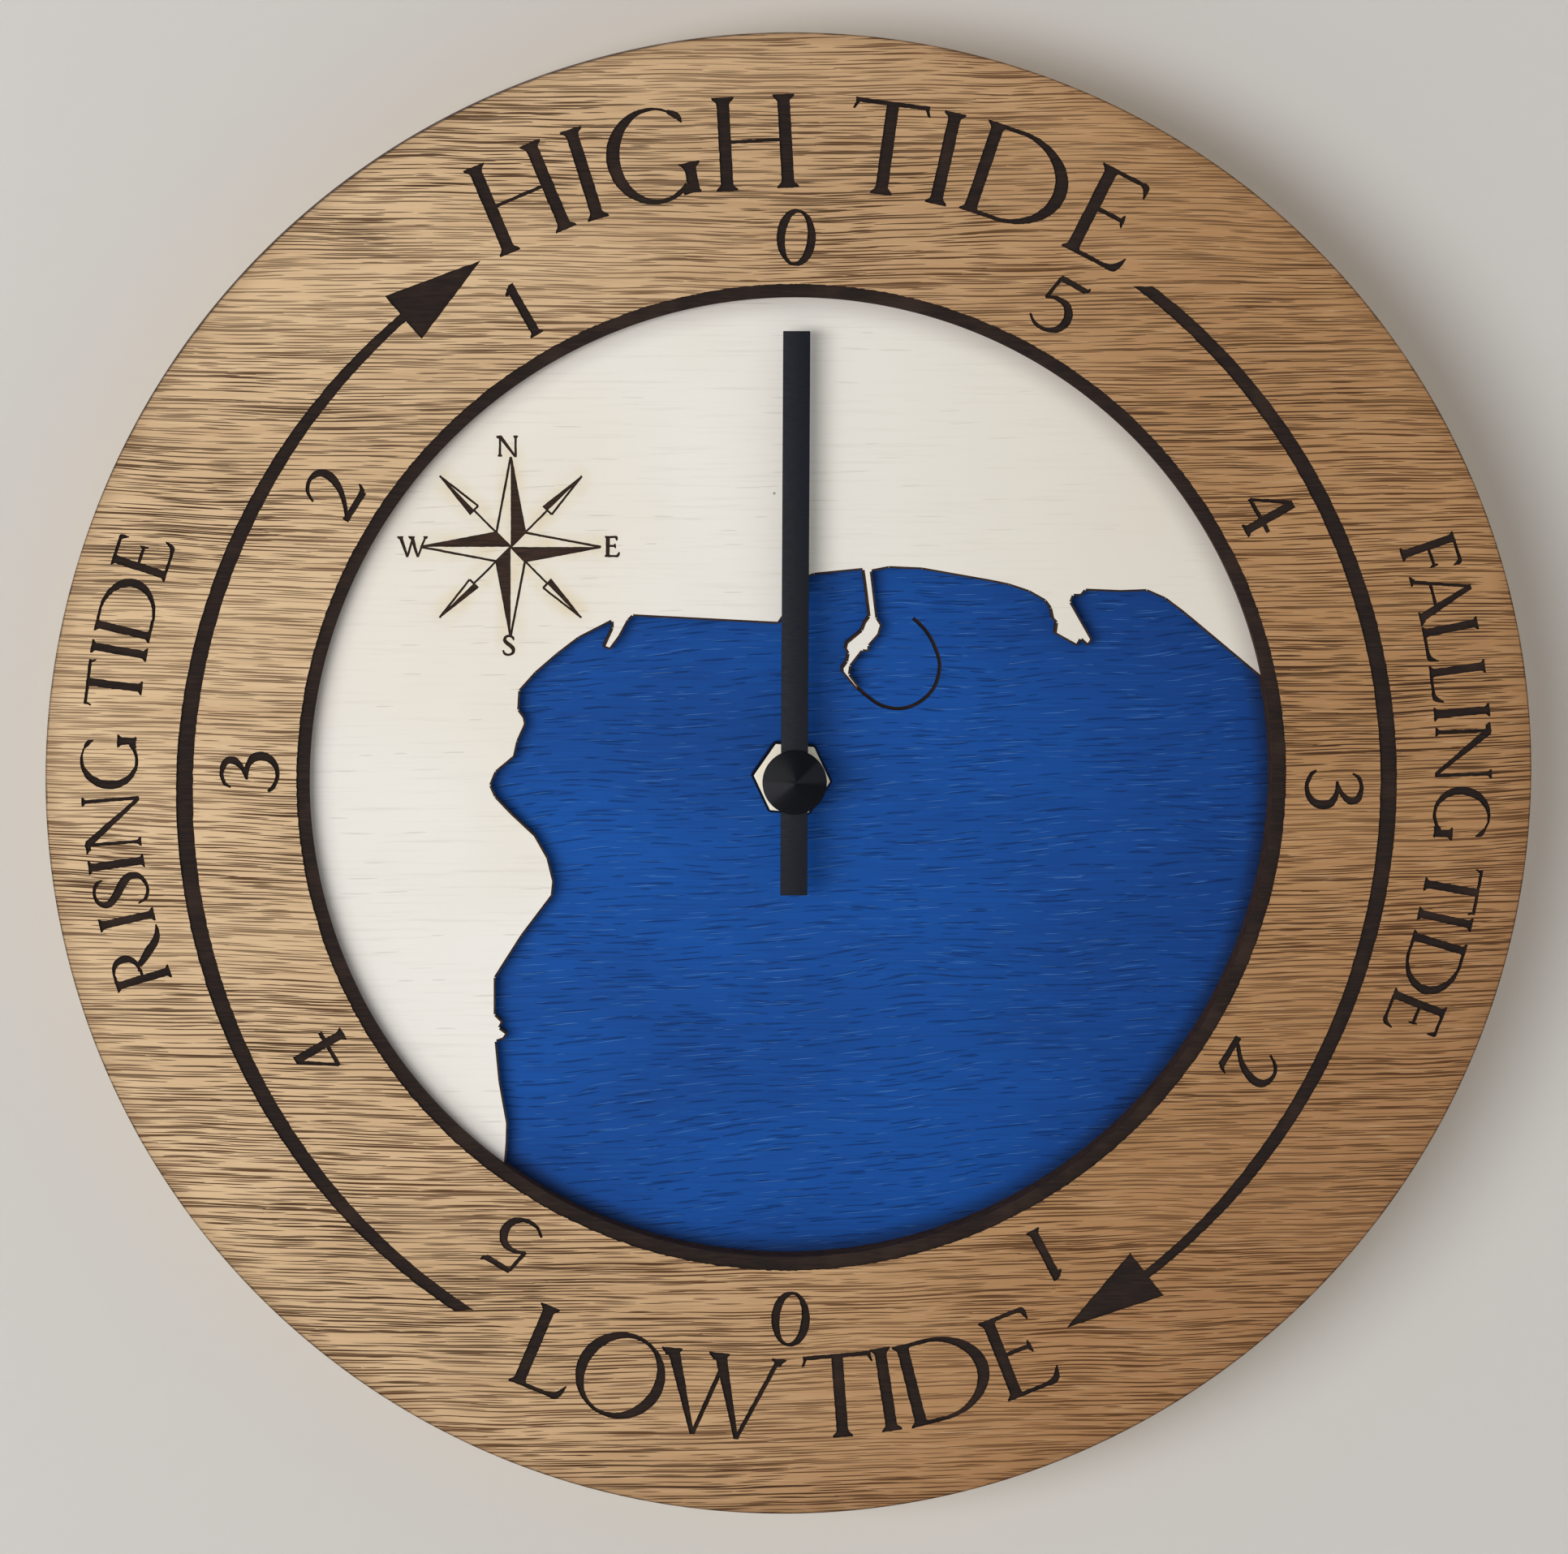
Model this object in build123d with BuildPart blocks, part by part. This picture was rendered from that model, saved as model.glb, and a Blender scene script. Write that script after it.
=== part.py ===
# Wall-hung wooden tide clock with a quartz movement
#
# Frame: origin on the arbor axis at the wall, +X right, +Y into the wall, +Z up.
# The dial looks along -Y. A height is a distance in front of the wall, so it lies at y = -height.
# Angles of the dial's figures run clockwise from the top, as seen from the front.
from build123d import *
from math import atan2, cos, degrees, radians, sin
import os

os.makedirs("parts", exist_ok=True)

# Dial: three layers of the same sheet
dial_radius = 125.0
ring_width = 44.0
sheet_thick = 3.0
engraving_depth = 0.5
opening_radius = dial_radius - ring_width

# Coastline, from the right end of the shore round to its lower left end, as shares of opening_radius
coast_start_angle = 12.1
coast_end_angle = 233.6
coast_shares = [
    (0.814, 0.345), (0.775, 0.374), (0.736, 0.391), (0.682, 0.389), (0.609, 0.392),
    (0.600, 0.381), (0.584, 0.381), (0.579, 0.368), (0.624, 0.290), (0.615, 0.276),
    (0.600, 0.290), (0.592, 0.276), (0.545, 0.302), (0.548, 0.325), (0.540, 0.333),
    (0.535, 0.355), (0.524, 0.370), (0.490, 0.389), (0.448, 0.403), (0.414, 0.410),
    (0.267, 0.436), (0.199, 0.439), (0.163, 0.432), (0.175, 0.336), (0.185, 0.321),
    (0.179, 0.300), (0.159, 0.277), (0.159, 0.265), (0.145, 0.266), (0.121, 0.235),
    (0.119, 0.218), (0.139, 0.192), (0.132, 0.186), (0.103, 0.221), (0.101, 0.231),
    (0.111, 0.245), (0.114, 0.261), (0.108, 0.271), (0.111, 0.284), (0.142, 0.310),
    (0.148, 0.326), (0.157, 0.339), (0.149, 0.401), (0.144, 0.435), (0.044, 0.425),
    (0.029, 0.419), (-0.001, 0.366), (-0.030, 0.323), (-0.332, 0.339), (-0.341, 0.330),
    (-0.359, 0.296), (-0.379, 0.269), (-0.394, 0.275), (-0.376, 0.315), (-0.376, 0.328),
    (-0.444, 0.293), (-0.487, 0.260), (-0.532, 0.221), (-0.565, 0.184), (-0.567, 0.145),
    (-0.556, 0.130), (-0.553, 0.115), (-0.569, 0.079), (-0.576, 0.047), (-0.614, 0.015),
    (-0.625, -0.012), (-0.615, -0.035), (-0.583, -0.069), (-0.533, -0.116), (-0.506, -0.164),
    (-0.494, -0.213), (-0.497, -0.243), (-0.560, -0.327), (-0.615, -0.414), (-0.615, -0.491),
    (-0.600, -0.506), (-0.606, -0.519), (-0.590, -0.531), (-0.598, -0.543), (-0.613, -0.548),
    (-0.605, -0.631), (-0.589, -0.720), (-0.590, -0.760),
]
# Crescent arrows engraved in the ring. Each arc has its own centre, set off from the arbor's axis,
# and tail, middle, neck and tip angles about it
arrow_inset = 24.3
arrow_radius = opening_radius + arrow_inset
arrow_tail_width = 2.0
arrow_middle_width = 2.8
arrow_neck_width = 1.5
arrow_head_width = 9.4
arrow_tail_lean_angle = 0.7
arrow_steps = 5
flood_arrow_centre = (3.4, -2.2)
flood_arrow_angles = (-146.2, -92.7, -40.8, -32.1)
ebb_arrow_centre = (-4.6, -1.5)
ebb_arrow_angles = (36.6, 89.2, 141.8, 150.7)

# Hand and cap
hand_width = 4.5
hand_tip_gap = 5.5
hand_reach = opening_radius - hand_tip_gap
hand_tail = 19.1
hand_thick = 0.8
hand_rise = 1.8
hub_eye_radius = 4.7
hand_bush_radius = 4.0
hand_bush_rise = 0.5
cap_radius = 5.4
cap_rim = 0.6
cap_rise = 1.1
cap_plug_radius = 1.65
cap_plug_length = 3.0

# Movement's case, whose other sizes follow from what it holds
case_wall = 1.4
case_front_wall = 1.5
bay_front_wall = 1.05
lid_thick = 1.5
case_corner = 3.0
lid_lip_width = 1.0
lid_lip_height = 0.8

# Fixing through the dial
bush_radius = 4.0
nut_flats = 12.0
nut_thick = 2.5
nut_recess = 0.4
gasket_width = 24.0
gasket_thick = 1.0

# Hanger
hanger_thick = 0.8
hanger_width = 16.0
hanger_foot = 8.0
hanger_bend = 1.0
hanger_gap = 0.6
hanger_tab = 14.0
hanger_corner = 4.0
nail_hole_radius = 2.5
nail_hole_drop = 6.5

# Battery
battery_radius = 7.25
battery_length = 49.5
nub_radius = 2.75
nub_length = 1.0
battery_gap = 0.3
contact_room = 1.35
contact_thick = 0.4
contact_width = 4.0
contact_reach = 4.0
leaf_bow = 0.85

# Train: tooth counts and modules
rotor_leaves = 6
intermediate_teeth = 30
intermediate_leaves = 8
second_teeth = 48
second_leaves = 6
third_teeth = 45
third_leaves = 6
centre_teeth = 48
cannon_leaves = 10
minute_teeth = 30
minute_leaves = 8
hour_teeth = 32
rotor_distance = 4.8
intermediate_distance = 8.4
third_distance = 7.9
motion_distance = 8.75
intermediate_angle = 115.0
rotor_angle = 90.0
third_angle = -12.0
minute_angle = 180.0

# Tooth form, as shares of the module
tooth_addendum_share = 0.8
tooth_dedendum_share = 1.5
tooth_tip_share = 0.4
leaf_addendum_share = 0.7
leaf_tip_share = 0.4

# Train: thicknesses, and gaps between one layer and the next
wheel_thick = 0.8
hour_wheel_thick = 1.2
bridge_thick = 0.8
middle_thick = 1.0
leaf_overlap = 0.3
wheel_gap = 0.7
bridge_gap = 0.6
hour_wheel_gap = 0.3
floor_gap = 1.2

# Arbors and tubes
arbor_radius = 0.45
pivot_length = 0.7
end_shake = 0.1
running_gap = 0.04
press_gap = 0.01
bearing_side_count = 12
centre_tube_radius = 1.2
cannon_radius = 1.7
hour_tube_radius = 2.5
hour_tube_gap = 0.05
minute_arbor_radius = 0.75
cannon_length = 7.5
second_arbor_setback = 0.5

# Setting knob, sunk into its window
knob_recess = 0.4
knob_thick = 1.6
knob_gap = 0.4
knob_radius = 5.4
knob_window_gap = 0.6
knob_serrations = 24
serration_depth = 0.45
finger_slot_width = 1.4
finger_slot_depth = 0.6

# Stepper motor
magnet_radius = 3.0
magnet_height = 3.0
magnet_gap = 1.0
air_gap = 0.3
neck_width = 0.7
stator_thick = 1.0
stator_gap = 0.2
stator_arm_width = 6.0
stator_span = 36.0
core_bar_width = 2.4
coil_clearance = 2.0
coil_headroom = 1.0
bobbin_flange_half = 4.1
bobbin_flange_thick = 0.8
bobbin_barrel_radius = 1.9
winding_radius = 3.5
coil_gap = 0.05
stake_width = 1.6
stake_head = 0.4

# Electronics
board_width = 9.4
board_length = 30.0
board_thick = 1.0
board_rear = 5.0
board_side_gap = 0.2
board_stator_gap = 2.55
board_floor_gap = 2.1
chip_width = 5.6
chip_height = 1.2
chip_bevel = 0.3
crystal_radius = 1.0
crystal_length = 6.0

# Posts that carry the plates, the coil and the board
post_width = 2.2
post_shoulder = 0.4
post_inset = 1.7
post_stator_gap = 0.9
board_post_inset = 2.2
plate_margin = 3.85
plate_gap = 0.7

# One overrun serves every cut
overrun = 1.0

# Heights of the train's layers in front of the wall
leaf_height = wheel_thick + 2 * leaf_overlap
reach_height = wheel_gap + wheel_thick + leaf_overlap
bridge_rear = knob_recess + knob_thick + knob_gap
intermediate_wheel_rear = bridge_rear + bridge_thick + bridge_gap
second_wheel_rear = intermediate_wheel_rear + wheel_thick + wheel_gap
third_wheel_rear = second_wheel_rear + wheel_thick + wheel_gap
centre_wheel_rear = third_wheel_rear + wheel_thick + wheel_gap
middle_rear = centre_wheel_rear + wheel_thick + wheel_gap
middle_front = middle_rear + middle_thick
minute_wheel_rear = middle_front + wheel_gap
hour_wheel_rear = minute_wheel_rear + wheel_thick + wheel_gap
hour_wheel_front = hour_wheel_rear + hour_wheel_thick
magnet_rear = intermediate_wheel_rear + wheel_thick + magnet_gap
stator_rear = second_wheel_rear + wheel_thick + leaf_overlap + stator_gap
core_rear = stator_rear + stator_thick
core_front = core_rear + stator_thick
board_front = board_rear + board_thick

# Heights of the battery, the case and the dial
bay_half = battery_radius + battery_gap
battery_height = battery_radius + battery_gap / 2
bay_depth = battery_height + bay_half + bay_front_wall
case_depth = max(bay_depth, hour_wheel_front + hour_wheel_gap + case_front_wall)
room_front = case_depth - case_front_wall
hanger_rear = case_depth
gasket_rear = hanger_rear + hanger_thick
sea_rear = gasket_rear + gasket_thick
land_rear = sea_rear + sheet_thick
ring_rear = land_rear + sheet_thick
dial_front = ring_rear + sheet_thick
nut_front = land_rear + nut_thick
bush_front = nut_front - nut_recess
hand_rear = dial_front + hand_rise
hand_front = hand_rear + hand_thick

# Axes of the train, in the plane of the dial
centre_axis = (0, 0)


def polar(radius, angle, origin=(0, 0)):
    """Point at a radius and an anticlockwise angle from the right."""
    return (origin[0] + radius * cos(radians(angle)), origin[1] + radius * sin(radians(angle)))


def dial_point(radius, angle, origin=(0, 0)):
    """Point at a radius and a clockwise angle from the top of the dial."""
    return polar(radius, 90 - angle, origin)


def mesh_module(distance, teeth, leaves):
    """Module of a wheel and a pinion that mesh at a distance between their axes."""
    return 2 * distance / (teeth + leaves)


fast_module = mesh_module(rotor_distance, intermediate_teeth, rotor_leaves)
second_module = mesh_module(intermediate_distance, second_teeth, intermediate_leaves)
third_module = mesh_module(third_distance, third_teeth, second_leaves)
centre_module = mesh_module(third_distance, centre_teeth, third_leaves)
cannon_module = mesh_module(motion_distance, minute_teeth, cannon_leaves)
hour_module = mesh_module(motion_distance, hour_teeth, minute_leaves)
intermediate_axis = polar(intermediate_distance, intermediate_angle)
rotor_axis = polar(rotor_distance, rotor_angle, intermediate_axis)
third_axis = polar(third_distance, third_angle)
minute_axis = polar(motion_distance, minute_angle)


def tip_radius(module, teeth):
    """Radius over the teeth of a wheel."""
    return module * (teeth / 2 + tooth_addendum_share)


# Places in the plane of the dial: the battery bay lies below the train, the coil above it
stake_offset = (stator_span - stator_arm_width) / 2
coil_axis = rotor_axis[1] + stator_arm_width / 2 + coil_clearance + bobbin_flange_half
room_low = third_axis[1] - tip_radius(third_module, third_teeth) - floor_gap
board_low = room_low + board_floor_gap
board_high = board_low + board_length
room_high = max(coil_axis + bobbin_flange_half + coil_headroom, board_high + board_side_gap)
bay_top = room_low - case_wall
bay_centre = bay_top - bay_half
bay_low = bay_centre - bay_half
lid_low = bay_top + case_wall / 2
battery_half = (battery_length + nub_length) / 2
bay_end = battery_half + contact_room
board_left = rotor_axis[0] + stator_span / 2 + board_stator_gap
board_right = board_left + board_width
inside = max(bay_end, board_right + board_side_gap)
case_side = inside + case_wall
case_low = bay_low - case_wall
case_high = room_high + case_wall
plate_left = minute_axis[0] - tip_radius(cannon_module, minute_teeth) - plate_margin
plate_right = board_left - plate_gap
plate_low = room_low + plate_gap
plate_high = coil_axis - bobbin_flange_half - plate_gap
upper_post = rotor_axis[1] - stator_arm_width / 2 - post_stator_gap - post_width / 2 - post_shoulder
post_places = [
    (x, z)
    for x in (plate_left + post_inset, plate_right - post_inset)
    for z in (plate_low + post_inset, upper_post)
]
stake_places = [(rotor_axis[0] + side * stake_offset, coil_axis) for side in (-1, 1)]
board_post_places = [
    (board_right - board_post_inset, z) for z in (board_low + board_post_inset, board_high - board_post_inset)
]


def level(height, axis=centre_axis):
    """Plane parallel to the wall at a height, with its origin on an axis of the train."""
    return Plane(origin=(axis[0], -height, axis[1]), x_dir=(1, 0, 0), z_dir=(0, -1, 0))


def post(radius, low, high, axis=centre_axis, mode=Mode.ADD):
    """Round solid along an axis of the train, from one height to another."""
    with BuildSketch(level(low, axis)) as section:
        Circle(radius)
    extrude(to_extrude=section.sketch, amount=high - low, mode=mode)


def pillar(width, low, high, place, mode=Mode.ADD):
    """Square post at a place in the plane of the dial, from one height to another."""
    with BuildSketch(level(low, place)) as section:
        Rectangle(width, width)
    extrude(to_extrude=section.sketch, amount=high - low, mode=mode)


def block(left, right, low, high, rear, front, mode=Mode.ADD, corner=0):
    """Rectangular solid between two places in X, two in Z and two heights."""
    middle = ((left + right) / 2, (low + high) / 2)
    with BuildSketch(level(rear, middle)) as section:
        if corner:
            RectangleRounded(right - left, high - low, corner)
        else:
            Rectangle(right - left, high - low)
    extrude(to_extrude=section.sketch, amount=front - rear, mode=mode)


def gear(teeth, module, rear, thick, axis, phase, addendum_share, tip_share):
    """Toothed disc with straight flanks and pointed tooth spaces; one tooth points at phase."""
    pitch = module * teeth / 2
    root = pitch - tooth_dedendum_share * module
    tip = pitch + addendum_share * module
    half_pitch = 180 / teeth
    tip_turn = degrees(tip_share * module / (2 * tip))
    outline = []
    for tooth in range(teeth):
        middle = phase + 2 * half_pitch * tooth
        outline.append(polar(root, middle - half_pitch))
        outline.append(polar(tip, middle - tip_turn))
        outline.append(polar(tip, middle + tip_turn))
    with BuildSketch(level(rear, axis)) as section:
        with BuildLine():
            Polyline(*outline, close=True)
        make_face()
    extrude(to_extrude=section.sketch, amount=thick)


def wheel(teeth, module, rear, thick, axis=centre_axis, phase=0):
    """Wheel teeth."""
    gear(teeth, module, rear, thick, axis, phase, tooth_addendum_share, tooth_tip_share)


def pinion(leaves, module, rear, height, axis=centre_axis, phase=0):
    """Pinion leaves, thinner than a wheel's teeth."""
    gear(leaves, module, rear, height, axis, phase, leaf_addendum_share, leaf_tip_share)


def mesh_phase(axis, teeth, mate_axis, mate_teeth, mate_phase=0):
    """Phase that puts a tooth space of this gear on a tooth of its mate."""
    bearing = degrees(atan2(axis[1] - mate_axis[1], axis[0] - mate_axis[0]))
    mate_share = (mate_phase - bearing) * mate_teeth / 360
    return bearing + 180 + (0.5 - mate_share) * 360 / teeth


def bearing(radius, low, high, axis=centre_axis):
    """Bearing hole in a plate: twelve flats around the running gap of an arbor or a tube."""
    with BuildSketch(level(low - overrun, axis)) as section:
        RegularPolygon(radius + running_gap, bearing_side_count, major_radius=False)
    extrude(to_extrude=section.sketch, amount=high - low + 2 * overrun, mode=Mode.SUBTRACT)


def arbor(axis):
    """Arbor that runs in the train bridge and in the middle plate."""
    post(arbor_radius, bridge_rear + bridge_thick - pivot_length, middle_rear + pivot_length, axis)


# Oak ring with the two arrows burnt into its face
def arrow(centre, angles):
    """Outline of a crescent arrow that swells between its tail and its neck."""
    tail, middle, neck, tip = angles
    outer = []
    inner = []
    for step in range(2 * arrow_steps + 1):
        share = abs(step / arrow_steps - 1)
        end, end_width = (tail, arrow_tail_width) if step < arrow_steps else (neck, arrow_neck_width)
        angle = middle + (end - middle) * share
        lean = arrow_tail_lean_angle if step == 0 else 0
        width = arrow_middle_width + (end_width - arrow_middle_width) * share**2
        outer.append(dial_point(arrow_radius + width / 2, angle + lean, centre))
        inner.append(dial_point(arrow_radius - width / 2, angle - lean, centre))
    head = [
        dial_point(arrow_radius + arrow_head_width / 2, neck, centre),
        dial_point(arrow_radius, tip, centre),
        dial_point(arrow_radius - arrow_head_width / 2, neck, centre),
    ]
    Polyline(*outer, *head, *reversed(inner), close=True)


with BuildPart() as dial_ring:
    with BuildSketch(level(ring_rear)):
        Circle(dial_radius)
        Circle(opening_radius, mode=Mode.SUBTRACT)
    extrude(amount=sheet_thick)
    with BuildSketch(level(dial_front - engraving_depth)):
        for arc in ((flood_arrow_centre, flood_arrow_angles), (ebb_arrow_centre, ebb_arrow_angles)):
            with BuildLine():
                arrow(*arc)
            make_face()
    extrude(amount=engraving_depth + overrun, mode=Mode.SUBTRACT)
dial_ring.part.label = "dial_ring"
export_step(dial_ring.part, "parts/dial_ring.step")

# Land plate: a disc without the sea, which the coastline and the ring's opening bound
with BuildPart() as land_plate:
    with BuildSketch(level(land_rear)):
        Circle(dial_radius)
        with BuildLine():
            shore = [polar(opening_radius, coast_start_angle)]
            shore += [(opening_radius * x, opening_radius * z) for x, z in coast_shares]
            shore += [polar(opening_radius, coast_end_angle)]
            Polyline(*shore)
            half_way = (coast_end_angle + 360 + coast_start_angle) / 2
            ThreePointArc(shore[-1], polar(opening_radius, half_way), shore[0])
        make_face(mode=Mode.SUBTRACT)
    extrude(amount=sheet_thick)
land_plate.part.label = "land_plate"
export_step(land_plate.part, "parts/land_plate.step")

# Sea plate: whole disc, clamped at its centre
with BuildPart() as sea_plate:
    with BuildSketch(level(sea_rear)):
        Circle(dial_radius)
        Circle(bush_radius + press_gap, mode=Mode.SUBTRACT)
    extrude(amount=sheet_thick)
sea_plate.part.label = "sea_plate"
export_step(sea_plate.part, "parts/sea_plate.step")

# Case front: tray that is open at the back, with the battery bay below the train
with BuildPart() as case_front:
    block(-case_side, case_side, case_low, case_high, 0, case_depth, corner=case_corner)
    block(-case_side, case_side, lid_low, case_high, -overrun, lid_thick, mode=Mode.SUBTRACT)
    block(-inside, inside, room_low, room_high, 0, room_front, mode=Mode.SUBTRACT)
    block(-bay_end, bay_end, bay_low, bay_top, -overrun, battery_height, mode=Mode.SUBTRACT)
    with BuildSketch(Plane.YZ.offset(-bay_end)):
        with Locations((-battery_height, bay_centre)):
            Circle(bay_half)
    extrude(amount=2 * bay_end, mode=Mode.SUBTRACT)
    for side in (-1, 1):
        ends = sorted((side * bay_end, side * battery_half))
        slot_front = board_rear + contact_width + battery_gap
        block(*ends, bay_low, bay_top, -overrun, room_front, mode=Mode.SUBTRACT)
        block(*ends, bay_top - overrun, room_low + overrun, board_rear - battery_gap, slot_front,
              mode=Mode.SUBTRACT)
    for place in post_places:
        pillar(post_width + 2 * post_shoulder, middle_front, room_front, place)
        pillar(post_width, bridge_rear + bridge_thick, room_front, place)
        pillar(post_width - 2 * post_shoulder, bridge_rear, room_front, place)
    for place in stake_places:
        pillar(stake_width + 2 * post_shoulder, core_front, room_front, place)
        pillar(stake_width, stator_rear - stake_head, core_front, place)
    for place in board_post_places:
        pillar(post_width, board_front, room_front, place)
    post(bush_radius + press_gap, 0, case_depth + overrun, mode=Mode.SUBTRACT)
    post(arbor_radius + running_gap, room_front - overrun, room_front + pivot_length, minute_axis,
         mode=Mode.SUBTRACT)
case_front.part.label = "case_front"
export_step(case_front.part, "parts/case_front.step")

# Case back: lid over the train, with a locating lip and the window of the setting knob
with BuildPart() as case_back:
    block(-case_side, case_side, lid_low, case_high, 0, lid_thick)
    fillet(case_back.edges().filter_by(Axis.Y).group_by(Axis.Z)[-1], radius=case_corner)
    lip = inside - end_shake
    lip_low = room_low + end_shake
    lip_high = room_high - end_shake
    block(-lip, lip, lip_low, lip_high, lid_thick, lid_thick + lid_lip_height)
    block(-lip + lid_lip_width, lip - lid_lip_width, lip_low + lid_lip_width, lip_high - lid_lip_width,
          lid_thick, lid_thick + lid_lip_height, mode=Mode.SUBTRACT)
    post(knob_radius + knob_window_gap, -overrun, lid_thick + overrun, minute_axis, mode=Mode.SUBTRACT)
case_back.part.label = "case_back"
export_step(case_back.part, "parts/case_back.step")

# Bush, pressed into the front wall
with BuildPart() as threaded_bush:
    post(bush_radius, room_front, bush_front)
    post(hour_tube_radius + hour_tube_gap, room_front - overrun, bush_front + overrun, mode=Mode.SUBTRACT)
threaded_bush.part.label = "threaded_bush"
export_step(threaded_bush.part, "parts/threaded_bush.step")

# Square rubber gasket between the hanger and the dial
with BuildPart() as rubber_gasket:
    pillar(gasket_width, gasket_rear, sea_rear, centre_axis)
    post(bush_radius + press_gap, gasket_rear - overrun, sea_rear + overrun, mode=Mode.SUBTRACT)
rubber_gasket.part.label = "rubber_gasket"
export_step(rubber_gasket.part, "parts/rubber_gasket.step")

# Hex nut on the sea plate, with two of its corners left and right
with BuildPart() as hex_nut:
    with BuildSketch(level(land_rear)):
        RegularPolygon(nut_flats / 2, side_count=6, major_radius=False)
    extrude(amount=nut_thick)
    post(bush_radius + press_gap, land_rear - overrun, nut_front + overrun, mode=Mode.SUBTRACT)
hex_nut.part.label = "hex_nut"
export_step(hex_nut.part, "parts/hex_nut.step")

# Hanger: strap bent over the top of the case, flat on the wall above it
with BuildPart() as hanger:
    mid_front = case_depth + hanger_thick / 2
    over_top = case_high + hanger_gap + hanger_thick / 2
    hanger_top = over_top + hanger_tab
    with BuildSketch(Plane.YZ.offset(-hanger_width / 2)):
        with BuildLine():
            FilletPolyline(
                (-mid_front, -hanger_foot),
                (-mid_front, over_top),
                (-hanger_thick / 2, over_top),
                (-hanger_thick / 2, hanger_top),
                radius=hanger_bend,
            )
        trace(line_width=hanger_thick)
    extrude(amount=hanger_width)
    chamfer(hanger.edges().filter_by(Axis.Y).group_by(Axis.Z)[-1], length=hanger_corner)
    chamfer(hanger.edges().filter_by(Axis.Y).group_by(Axis.Z)[0], length=hanger_corner)
    post(bush_radius + press_gap, hanger_rear - overrun, gasket_rear + overrun, mode=Mode.SUBTRACT)
    nail_place = (0, hanger_top - nail_hole_drop)
    post(nail_hole_radius, -overrun, hanger_thick + overrun, nail_place, mode=Mode.SUBTRACT)
hanger.part.label = "hanger"
export_step(hanger.part, "parts/hanger.step")

# Plates that the arbors turn in, stepped onto the posts of the case front
train_axes = (intermediate_axis, rotor_axis, third_axis)
with BuildPart() as middle_plate:
    block(plate_left, plate_right, plate_low, plate_high, middle_rear, middle_front)
    for place in post_places:
        pillar(post_width + 2 * press_gap, middle_rear - overrun, middle_front + overrun, place,
               mode=Mode.SUBTRACT)
    for axis in train_axes:
        bearing(arbor_radius, middle_rear, middle_front, axis)
    bearing(centre_tube_radius, middle_rear, middle_front)
    bearing(minute_arbor_radius, middle_rear, middle_front, minute_axis)
middle_plate.part.label = "middle_plate"
export_step(middle_plate.part, "parts/middle_plate.step")

with BuildPart() as train_bridge:
    bridge_front = bridge_rear + bridge_thick
    block(plate_left, plate_right, plate_low, plate_high, bridge_rear, bridge_front)
    for place in post_places:
        pillar(post_width - 2 * post_shoulder + 2 * press_gap, bridge_rear - overrun, bridge_front + overrun,
               place, mode=Mode.SUBTRACT)
    for axis in (centre_axis, *train_axes):
        bearing(arbor_radius, bridge_rear, bridge_front, axis)
    bearing(minute_arbor_radius, bridge_rear, bridge_front, minute_axis)
train_bridge.part.label = "train_bridge"
export_step(train_bridge.part, "parts/train_bridge.step")

# Going train: rotor, intermediate, second, third and centre wheels
with BuildPart() as rotor_pinion:
    arbor(rotor_axis)
    rotor_phase = mesh_phase(rotor_axis, rotor_leaves, intermediate_axis, intermediate_teeth)
    pinion(rotor_leaves, fast_module, intermediate_wheel_rear - leaf_overlap, leaf_height, rotor_axis,
           rotor_phase)
rotor_pinion.part.label = "rotor_pinion"
export_step(rotor_pinion.part, "parts/rotor_pinion.step")

with BuildPart() as rotor_magnet:
    post(magnet_radius, magnet_rear, magnet_rear + magnet_height, rotor_axis)
    post(arbor_radius + press_gap, magnet_rear - overrun, magnet_rear + magnet_height + overrun, rotor_axis,
         mode=Mode.SUBTRACT)
rotor_magnet.part.label = "rotor_magnet"
export_step(rotor_magnet.part, "parts/rotor_magnet.step")

with BuildPart() as intermediate_wheel:
    arbor(intermediate_axis)
    wheel(intermediate_teeth, fast_module, intermediate_wheel_rear, wheel_thick, intermediate_axis)
    leaf_phase = mesh_phase(intermediate_axis, intermediate_leaves, centre_axis, second_teeth)
    pinion(intermediate_leaves, second_module, second_wheel_rear - wheel_gap, reach_height,
           intermediate_axis, leaf_phase)
intermediate_wheel.part.label = "intermediate_wheel"
export_step(intermediate_wheel.part, "parts/intermediate_wheel.step")

# The second wheel's arbor runs up inside the centre wheel's tube
centre_tube_front = minute_wheel_rear + leaf_height
with BuildPart() as second_wheel:
    post(arbor_radius, bridge_rear + bridge_thick - pivot_length, centre_tube_front - second_arbor_setback)
    wheel(second_teeth, second_module, second_wheel_rear, wheel_thick)
    leaf_phase = mesh_phase(centre_axis, second_leaves, third_axis, third_teeth)
    pinion(second_leaves, third_module, third_wheel_rear - wheel_gap, reach_height, centre_axis, leaf_phase)
second_wheel.part.label = "second_wheel"
export_step(second_wheel.part, "parts/second_wheel.step")

with BuildPart() as third_wheel:
    arbor(third_axis)
    wheel(third_teeth, third_module, third_wheel_rear, wheel_thick, third_axis)
    leaf_phase = mesh_phase(third_axis, third_leaves, centre_axis, centre_teeth)
    pinion(third_leaves, centre_module, centre_wheel_rear - wheel_gap, reach_height, third_axis, leaf_phase)
third_wheel.part.label = "third_wheel"
export_step(third_wheel.part, "parts/third_wheel.step")

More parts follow.
